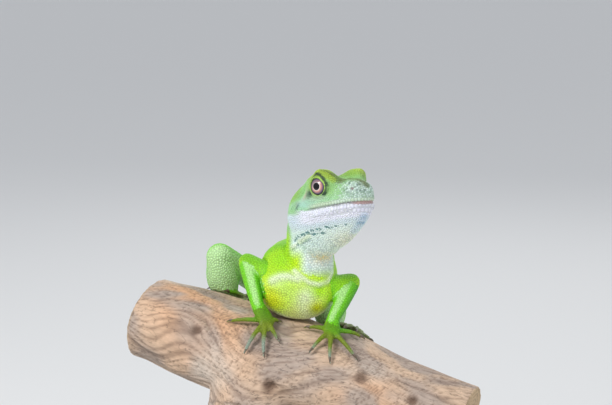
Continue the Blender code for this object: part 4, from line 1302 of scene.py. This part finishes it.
def make_scales(skin, body, finish):
    """All the scales: rows of plates along the lips, then as many of the drawn places as fit."""
    drawn, drawn_normals, drawn_names = draw_places(skin, body)
    drawn_spacing = scale_spacing(drawn, drawn_names)
    tree = BVHTree.FromPolygons(
        read_points(skin).tolist(), [tuple(face.vertices) for face in skin.data.polygons]
    )
    rows = [lip_row(tree, rise, apart, first) for rise, apart, first, _ in LIP_ROWS]
    plates = [len(row_places) for row_places, _ in rows]
    plate_places = np.concatenate([row_places for row_places, _ in rows])
    plate_spacing = np.repeat([row[1] for row in LIP_ROWS], plates)
    kept = thinned(drawn, drawn_spacing, plate_places, plate_spacing * PLATE_REACH)
    plate = slice(0, sum(plates))
    places = np.concatenate((plate_places, drawn[kept]))
    normals = np.concatenate([row_normals for _, row_normals in rows] + [drawn_normals[kept]])
    names = np.concatenate((["head"] * sum(plates), drawn_names[kept]))
    spacing = np.concatenate((plate_spacing, drawn_spacing[kept]))
    ways = body.flow(places, names)
    ahead = unit(ways - normals * (ways * normals).sum(axis=1)[:, None])
    aside = np.cross(normals, ahead)
    on_head = names == "head"
    heights = np.where(on_head, HEAD_RISE, BODY_RISE) * (0.8 + 0.4 * RNG.random(len(places)))
    heights *= spacing / np.where(on_head, HEAD_SPACING, BODY_SPACING)
    heights[plate] = np.repeat([row[3] for row in LIP_ROWS], plates)
    # how light each root ring stays under the painted shade between scales
    edge = np.where(on_head, HEAD_EDGE_SHADE, BODY_EDGE_SHADE)
    edge[on_snout(places) & on_head] = SNOUT_EDGE_SPECKS_AND_SHADE
    edge[plate] = PLATE_EDGE_SHADE
    tints = colours(body, places, names, normals, RNG.random(len(places)))
    tints[plate] *= PLATE_SHADE
    scales = {
        "places": places, "normals": normals, "ahead": ahead, "aside": aside, "heights": heights,
        "reach": lip_gap(places, ahead, aside, cell_reach(places, ahead, aside, spacing)), "edge": edge,
        "lean": np.where(on_head, HEAD_LEAN, BODY_LEAN), "tints": tints,
        "unwrap": body.unwrap(places, names),
    }
    for name, here in (("head_scales", on_head), ("body_scales", ~on_head)):
        build_scales(name, {key: values[here] for key, values in scales.items()}, finish)
    return tree


# Claws and crest

# A claw's stations: distance past the digit's tip as a share of its length, height off the wood and radius
CLAW = (
    (-0.35, 1.15, 0.66), (0.0, 1.3, 0.62), (0.35, 1.3, 0.5), (0.7, 1.05, 0.35), (1.0, 0.6, 0.2),
    (1.25, 0.2, 0.04),
)
CLAW_SIDES = 10
CLAW_LENGTH = 1.8
CLAW_WIDTH = 0.8
PALM_LIFT = 2.5
TIP_LIFT = 1.15


def make_claws(finish):
    """Curved claws on all digits, one piece for each hand and foot."""
    for name, (palm, tips) in HANDS.items():
        points, faces = [], []
        for tip in np.array(tips):
            digit = np.linalg.norm(branch_point(*tip, TIP_LIFT) - branch_point(*palm, PALM_LIFT))
            run = (tip - palm) * CLAW_LENGTH / digit
            line = np.array([branch_point(*(tip + run * far), lift) for far, lift, _ in CLAW])
            out = branch_point(*tip, 1.0) - branch_point(*tip)
            faces += tube_faces(len(CLAW), CLAW_SIDES, len(points))
            for spot, way, (_, _, radius) in zip(line, unit(np.gradient(line, axis=0)), CLAW):
                right = unit(np.cross(way, out))
                round_claw = ring(full_turn(CLAW_SIDES), right * CLAW_WIDTH, np.cross(right, way))
                points += list(spot + round_claw * radius)
        limb, side_name = name.split("_")
        claws = mesh_object(f"{limb}_claws_{side_name}", points, faces, finish)
        outward(claws)
        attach(claws, "root")


# Lengths of crest: rows, way up, first and last station, spacing, and spine height at each end
NAPE_UP = (0.0, 1.0, 0.1)
BACK_UP = (math.sin(math.radians(BODY_ROLL)), 0.0, math.cos(math.radians(BODY_ROLL)))
CREST = (
    (NECK, NAPE_UP, 0.9, 2.35, 1.5, 3.0, 2.9),
    (TRUNK, BACK_UP, 2.2, 6.6, 1.7, 2.6, 1.5),
    (TRUNK, BACK_UP, 6.6, 11.6, 1.9, 1.4, 0.8),
)
SPINE_LEVELS = np.array((0.0, 0.3, 0.6, 0.85, 1.0))
SPINE_SIDES = 8
SPINE_SINK = 0.8
# How far a spine leans as a share of its height, and how that grows upward
SPINE_LEAN = 0.55
LEAN_POWER = 1.8
# Half its length, as a share of the spacing, and half its width: at the root, how each tapers, and the tip's
SPINE_LENGTH = 0.62
LENGTH_POWER = 0.75
TIP_LENGTH = 0.03
SPINE_WIDTH = 0.42
WIDTH_POWER = 0.6
TIP_WIDTH = 0.02


def make_crest(body, skin_tree, finish):
    """The crest down the nape, back and tail: flat pointed spines that lean back from sunk roots."""
    points, faces, roots = [], [], []
    around = full_turn(SPINE_SIDES)
    for rows, up, start, end, spacing, first, last in CREST:
        line = ridge(rows, start, end, np.array(up))
        run = run_along(np.array([place for place, _, _ in line]))
        for far in np.arange(spacing / 2, run[-1], spacing):
            place, back, up_here = line[int(np.argmin(np.abs(run - far)))]
            height = (first + (last - first) * far / run[-1]) * (0.85 + 0.3 * RNG.random())
            side = np.cross(back, up_here)
            root = np.array(skin_tree.find_nearest(place)[0]) - up_here * SPINE_SINK
            faces += tube_faces(len(SPINE_LEVELS), SPINE_SIDES, len(points))
            for level in SPINE_LEVELS:
                lean = back * height * SPINE_LEAN * level**LEAN_POWER
                middle = root + up_here * (height + SPINE_SINK) * level + lean
                length = spacing * SPINE_LENGTH * (1.0 - level) ** LENGTH_POWER + TIP_LENGTH
                width = SPINE_WIDTH * (1.0 - level) ** WIDTH_POWER + TIP_WIDTH
                points += list(middle + ring(around, back * length, side * width))
            roots += [root] * (SPINE_SIDES * len(SPINE_LEVELS))
    crest = mesh_object("crest_spines", points, faces, finish)
    outward(crest)
    roots = np.array(roots)
    names = body.names_at(roots)
    upward = np.tile((0.0, 0.0, 1.0), (len(roots), 1))
    tone = colours(body, roots, names, upward, np.full(len(roots), 0.5))
    level = np.tile(np.repeat(SPINE_LEVELS, SPINE_SIDES), len(roots) // (SPINE_SIDES * len(SPINE_LEVELS)))
    paint(crest, mix(tone, STRIPE_PALE, level * 0.6))
    local = np.tile(np.stack((np.cos(around), np.sin(around)), axis=1), (len(roots) // SPINE_SIDES, 1))
    lay_out(crest, body.unwrap(roots, names) + local * (PATCH / 2) * (1.0 - 0.8 * level)[:, None])
    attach(crest, "root")


# The branch

WOOD_VOXEL = 0.8
WOOD_ROUNDS = 3
WOOD_GREY = ink(170, 154, 142)
WOOD_TAN = ink(200, 174, 150)
WOOD_ORANGE = ink(214, 160, 116)
WOOD_DARK = ink(98, 76, 62)
WOOD_PALE = ink(208, 196, 182)
WOOD_END = ink(196, 172, 138)
GROOVE_DEPTH = 0.5
MOST_RAISED = 0.12
# How many degrees round the branch the grooves, the blotches and the fine grain wander
GROOVE_WANDER = 26.0
BLOTCH_WANDER = 20.0
GRAIN_WANDER = 10.0
# The fine grain's length along the branch, and how close its streaks are round it
GRAIN_LENGTH = 16.0
GRAIN_STREAKS = 4.5
# Where the stub's places along it are counted from, past the branch's own
STUB_SHIFT = 90.0
# How far from a sawn end its flat face starts and is full
SAWN_FADE = (1.2, 0.3)
# Knots: along the branch, degrees round it, and radius
KNOTS = ((26.0, 52.0, 3.2), (46.0, 62.0, 2.6), (-38.0, 58.0, 2.8), (-4.0, 96.0, 3.4), (8.0, -120.0, 3.0))
# The orange-tan stain: along the branch, degrees round it, and its two spreads
STAINS = ((-34.0, 52.0, 20.0, 42.0), (-52.0, 20.0, 12.0, 40.0), (30.0, 80.0, 10.0, 24.0))


def round_line(points, start, along, front, up):
    """Each point's distance along a line, degrees round it from up towards front, and distance from it."""
    spread = points - start
    ahead, aside, over = spread @ along, spread @ front, spread @ up
    return ahead, np.degrees(np.arctan2(aside, over)), np.hypot(aside, over)


def wood_grid(points):
    """Along, round and out of the branch for each point; those of the fork's stub on its own line."""
    own = round_line(points, np.array(BRANCH_MIDDLE), *branch_axes())
    start, end = np.array(STUB_START), np.array(STUB_END)
    way = unit(end - start)
    side = unit(np.cross(way, (1.0, 0.0, 0.0)))
    reach, around, far = round_line(points, start, way, np.cross(way, side), side)
    on_stub = ease(20.0, 24.0, own[2]) * ease(8.0, 16.0, reach) > 0.5
    return *(np.where(on_stub, a, b) for a, b in zip((reach + STUB_SHIFT, around, far), own)), on_stub


def waves(s, around, table):
    """A sum of long waves that run with the grain: turns round the branch, waves along it and a shift."""
    turn = np.radians(around)
    return sum(np.sin(turn * turns + s / length + shift) for turns, length, shift in table) / len(table)


def wave_table(count, turns, lengths):
    """Seeded waves for the grain: turns round the branch, length along it and shift."""
    return [
        (RNG.integers(*turns), RNG.uniform(*lengths) * RNG.choice((-1, 1)), RNG.uniform(0.0, 6.3))
        for _ in range(count)
    ]


def sawn_share(s, facing, on_stub):
    """How much each point is on one of the three sawn ends."""
    low, high = BRANCH_ENDS
    outer, inner = SAWN_FADE
    stub_end = STUB_SHIFT + np.linalg.norm(np.array(STUB_END) - np.array(STUB_START))
    at_low = ease(low + outer, low + inner, s)
    at_high = ease(high - outer, high - inner, s) * ~on_stub
    at_stub = ease(stub_end - outer, stub_end - inner, s) * on_stub
    return np.maximum.reduce((at_low, at_high, at_stub)) * np.where(on_stub, 1.0, ease(0.5, 0.9, facing))


def make_wood(finish):
    """The branch as weathered driftwood: grooves with the grain, knots and sawn ends."""
    wood = mesh_object("driftwood", *node_mesh("perch_branch"), finish)
    places, ends = remeshed(wood, WOOD_VOXEL)
    for _ in range(WOOD_ROUNDS):
        places += (neighbour_mean(places, ends) - places) * 0.5
    write_points(wood, places)
    s, around, far, on_stub = wood_grid(places)
    fine = wave_table(18, (9, 60), (7.0, 26.0))
    broad = wave_table(7, (1, 6), (6.0, 18.0))
    blotches = wave_table(9, (2, 11), (3.0, 9.0))
    wander = waves(s, around, wave_table(4, (1, 4), (7.0, 20.0)))
    groove = ease(0.1, 0.0, np.abs(waves(s, around + GROOVE_WANDER * wander, fine)))
    blotch = waves(s, around + BLOTCH_WANDER * wander, blotches)
    swells = waves(s, around, broad)
    shape = 0.5 * swells + 0.35 * blotch - GROOVE_DEPTH * groove - 0.25
    knot_mask = np.zeros(len(places))
    for knot_s, knot_around, radius in KNOTS:
        gap = np.linalg.norm(places - branch_point(knot_s, knot_around), axis=1) / radius
        shape += 0.5 * hill(gap - 1.1, 0.35) - 1.1 * hill(gap, 0.6)
        knot_mask = np.maximum(knot_mask, np.exp(-((gap / 0.75) ** 4)))
    normals = read_normals(wood)
    sawn = sawn_share(s, np.abs(normals @ branch_axes()[0]), on_stub)
    write_points(wood, places + normals * np.minimum(shape * (1.0 - sawn), MOST_RAISED)[:, None])
    layers = [(WOOD_TAN, ease(-0.3, 0.35, blotch)), (WOOD_PALE, ease(0.15, 0.5, swells) * 0.6)]
    for stain_s, stain_around, spread_s, spread_around in STAINS:
        mask = hill(s - stain_s, spread_s) * hill(around - stain_around, spread_around)
        layers.append((WOOD_ORANGE, mask * 0.6 * ease(-0.35, 0.2, blotch)))
    rings = ease(-0.2, 0.8, np.sin(far * 3.4 + 1.2 * np.sin(np.radians(around) * 3)))
    end_wood = mix(WOOD_END, WOOD_DARK, rings * 0.4)
    layers += [(WOOD_DARK, groove * 0.5), (WOOD_DARK, knot_mask * 0.85), (end_wood, sawn)]
    paint(wood, layered(WOOD_GREY, layers))
    turned = np.radians(around + GRAIN_WANDER * wander)
    across, upward = np.cos(turned) * GRAIN_STREAKS, np.sin(turned) * GRAIN_STREAKS
    grain = np.stack((s / GRAIN_LENGTH, across, upward), axis=1)
    layer = wood.data.attributes.new(name="grain", type="FLOAT_VECTOR", domain="POINT")
    layer.data.foreach_set("vector", grain.astype(np.float32).reshape(-1))
    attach(wood, "root")
    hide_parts("perch_branch")


def wood_finish():
    """Weathered wood: the colours that each point carries, streaked with the grain, dry and rough."""
    finish = Finish("weathered wood", {"Roughness": 0.85})
    grain = {"Vector": finish.carried("grain", "Vector")}
    streak = finish.step("TexNoise", {"Scale": 4.0, "Detail": 8.0, "Roughness": 0.65}, grain).outputs["Fac"]
    crack = finish.step("TexNoise", {"Scale": 1.7, "Detail": 4.0}, grain).outputs["Fac"]
    line = finish.step("ValToRGB", {}, {"Fac": crack})
    for spot, value in ((0.0, 1.0), (0.485, 1.0), (0.5, 0.35), (0.515, 1.0)):
        stop = line.color_ramp.elements.new(spot) if spot else line.color_ramp.elements[0]
        stop.color = (value, value * 0.96, value * 0.92, 1.0)
    streaked = finish.darken(finish.carried("tint"), finish.span(streak, 0.45, 1.55))
    finish.give("Base Color", finish.darken(streaked, line.outputs["Color"], 0.75))
    finish.roughen(streak, 0.8, 0.6)
    return finish.material


# The stand

ROD_RADIUS = 3.5
ROD_SIDES = 48
ROD_PLACES = {"stand_rod_left": (36.0, -38.0), "stand_rod_right": (-24.0, -41.0)}
# The collar at a rod's foot: how high it is cut, how far up it is wide, and how much wider it is there
COLLAR_CUTS = (0.6, 2.4, 3.2)
COLLAR_HEIGHT = 2.5
COLLAR_WIDENING = 0.9
COLLAR_FOOT_WIDENING = 0.75
BASE_SIZE = (180.0, 150.0, 8.0)
BASE_CORNER = 14.0
SMOOTH_UNDER = 40.0


def bevelled(piece, width, segments, angle=None):
    """Rounds a piece's edges: all that are sharper than an angle, or without one its upright edges."""
    step = piece.modifiers.new("rounded", "BEVEL")
    step.width = width * MM
    step.segments = segments
    if angle is None:
        step.limit_method = "WEIGHT"
        weights = piece.data.attributes.new("bevel_weight_edge", "FLOAT", "EDGE")
        for edge in piece.data.edges:
            a, b = (piece.data.vertices[k].co for k in edge.vertices)
            upright = abs(a.z - b.z) > 0.5 * (abs(a.x - b.x) + abs(a.y - b.y))
            weights.data[edge.index].value = float(upright)
    else:
        step.limit_method = "ANGLE"
        step.angle_limit = math.radians(angle)
    bpy.ops.object.modifier_apply(modifier=step.name)


def settled(name):
    """Names the new primitive, and puts its place and size into its mesh."""
    piece = bpy.context.object
    piece.name = name
    select_only(piece)
    bpy.ops.object.transform_apply(location=True, rotation=True, scale=True)
    return piece


def finished(piece, finish):
    piece.data.materials.append(finish)
    select_only(piece)
    bpy.ops.object.shade_smooth_by_angle(angle=math.radians(SMOOTH_UNDER))


def add_collar(rod, x, y, bottom):
    """Widens a rod's foot to a collar with eased edges."""
    work = bmesh.new()
    work.from_mesh(rod.data)
    for cut in COLLAR_CUTS:
        geometry = work.verts[:] + work.edges[:] + work.faces[:]
        bmesh.ops.bisect_plane(
            work, geom=geometry, plane_co=(0.0, 0.0, (bottom + cut) * MM), plane_no=(0.0, 0.0, 1.0)
        )
    for point in work.verts:
        if point.co.z < (bottom + COLLAR_HEIGHT) * MM:
            over_foot = point.co.z > (bottom + 0.1) * MM
            grow = 1.0 + (COLLAR_WIDENING if over_foot else COLLAR_FOOT_WIDENING)
            point.co.x = x * MM + (point.co.x - x * MM) * grow
            point.co.y = y * MM + (point.co.y - y * MM) * grow
    work.to_mesh(rod.data)
    work.free()


def make_stand(plate_finish, rod_finish):
    """The base plate with rounded corners and eased edges, and two rods with a collar at the foot."""
    select_only()
    bpy.ops.mesh.primitive_cube_add(size=1.0, location=(0.0, 0.0, BASE_SIZE[2] / 2 * MM))
    bpy.context.object.scale = [value * MM for value in BASE_SIZE]
    base = settled("stand_base_plate")
    bevelled(base, BASE_CORNER, 12)
    bevelled(base, 1.0, 3, angle=50.0)
    finished(base, plate_finish)
    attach(base, "root")
    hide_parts("stand_base")
    for name, (x, y) in ROD_PLACES.items():
        bottom, top = (corner[2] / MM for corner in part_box(name))
        select_only()
        bpy.ops.mesh.primitive_cylinder_add(
            vertices=ROD_SIDES, radius=ROD_RADIUS * MM, depth=(top - bottom) * MM,
            location=(x * MM, y * MM, (top + bottom) / 2 * MM),
        )
        rod = settled(name + "_steel")
        add_collar(rod, x, y, bottom)
        finished(rod, rod_finish)
        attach(rod, "root")
        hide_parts(name)


# The room: floor, camera and lights

# Each lamp's place and what they all face, in metres, then the lamp's size and power
LAMPS = {
    "key": ((-0.55, -0.55, 0.85), 0.32, 7.5),
    "fill": ((0.75, -0.6, 0.3), 0.8, 2.2),
    "back": ((0.2, 0.8, 0.8), 0.8, 1.6),
}
LIT_PLACE = (0.0, -0.02, 0.19)


def make_room():
    """A pale floor, a camera where the photograph was taken from and soft light from the upper left."""
    select_only()
    bpy.ops.mesh.primitive_plane_add(size=60.0, location=(0.0, 0.0, 0.0))
    floor = bpy.context.object
    floor.name = "floor"
    pale = Finish("pale floor", {"Base Color": (0.78, 0.78, 0.76, 1.0), "Roughness": 0.85})
    floor.data.materials.append(pale.material)
    scene = bpy.context.scene
    lens = bpy.data.cameras.new("camera")
    lens.lens = CAMERA_LENS
    lens.sensor_width = CAMERA_SENSOR
    lens.clip_start = 0.01
    camera = bpy.data.objects.new("camera", lens)
    camera.location = [value * MM for value in CAMERA_PLACE]
    camera.rotation_euler = (math.radians(CAMERA_PITCH), 0.0, 0.0)
    scene.collection.objects.link(camera)
    scene.camera = camera
    for name, (place, size, power) in LAMPS.items():
        lamp = bpy.data.lights.new(name, "AREA")
        lamp.size = size
        lamp.energy = power
        held = bpy.data.objects.new(name, lamp)
        held.location = place
        held.rotation_euler = (Vector(LIT_PLACE) - Vector(place)).to_track_quat("-Z", "Y").to_euler()
        scene.collection.objects.link(held)
    scene.view_settings.view_transform = "Standard"
    scene.world = bpy.data.worlds.new("room")
    scene.world.use_nodes = True
    sky = scene.world.node_tree.nodes["Background"]
    sky.inputs["Color"].default_value = (0.9, 0.93, 1.0, 1.0)
    sky.inputs["Strength"].default_value = 0.66


def main():
    body = Body()
    grain = grain_group()
    scale_finish = painted_finish("scales", grain, 0.42, 0.12)
    skin = make_skin(body)
    skin.data.materials.append(painted_finish("skin", grain, 0.5, 0.05))
    points = read_points(skin)
    names, middling = body.names_at(points), np.full(len(points), 0.5)
    # the skin's colours darkened as painted shade in the gaps between the scales
    paint(skin, colours(body, points, names, read_normals(skin), middling) * SKIN_SHADE)
    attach(skin, "root")
    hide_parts(*FLESH)
    skin_tree = make_scales(skin, body, scale_finish)
    make_crest(body, skin_tree, scale_finish)
    make_claws(metal_finish("claw", grain, ink(96, 84, 70), 0.35, 0.0, 800.0))
    make_wood(wood_finish())
    plate = metal_finish("stand plate", grain, ink(46, 46, 48), 0.5, 0.0, 1500.0)
    steel = metal_finish("stand rod", grain, ink(170, 172, 176), 0.32, 1.0, 700.0)
    make_stand(plate, steel)
    eye = eye_finish()
    make_eye("eyeball_right", -1, eye)
    make_eye("eyeball_left", 1, eye)
    make_lids("eyelids_right", -1, scale_finish)
    make_lids("eyelids_left", 1, scale_finish)
    make_room()


main()
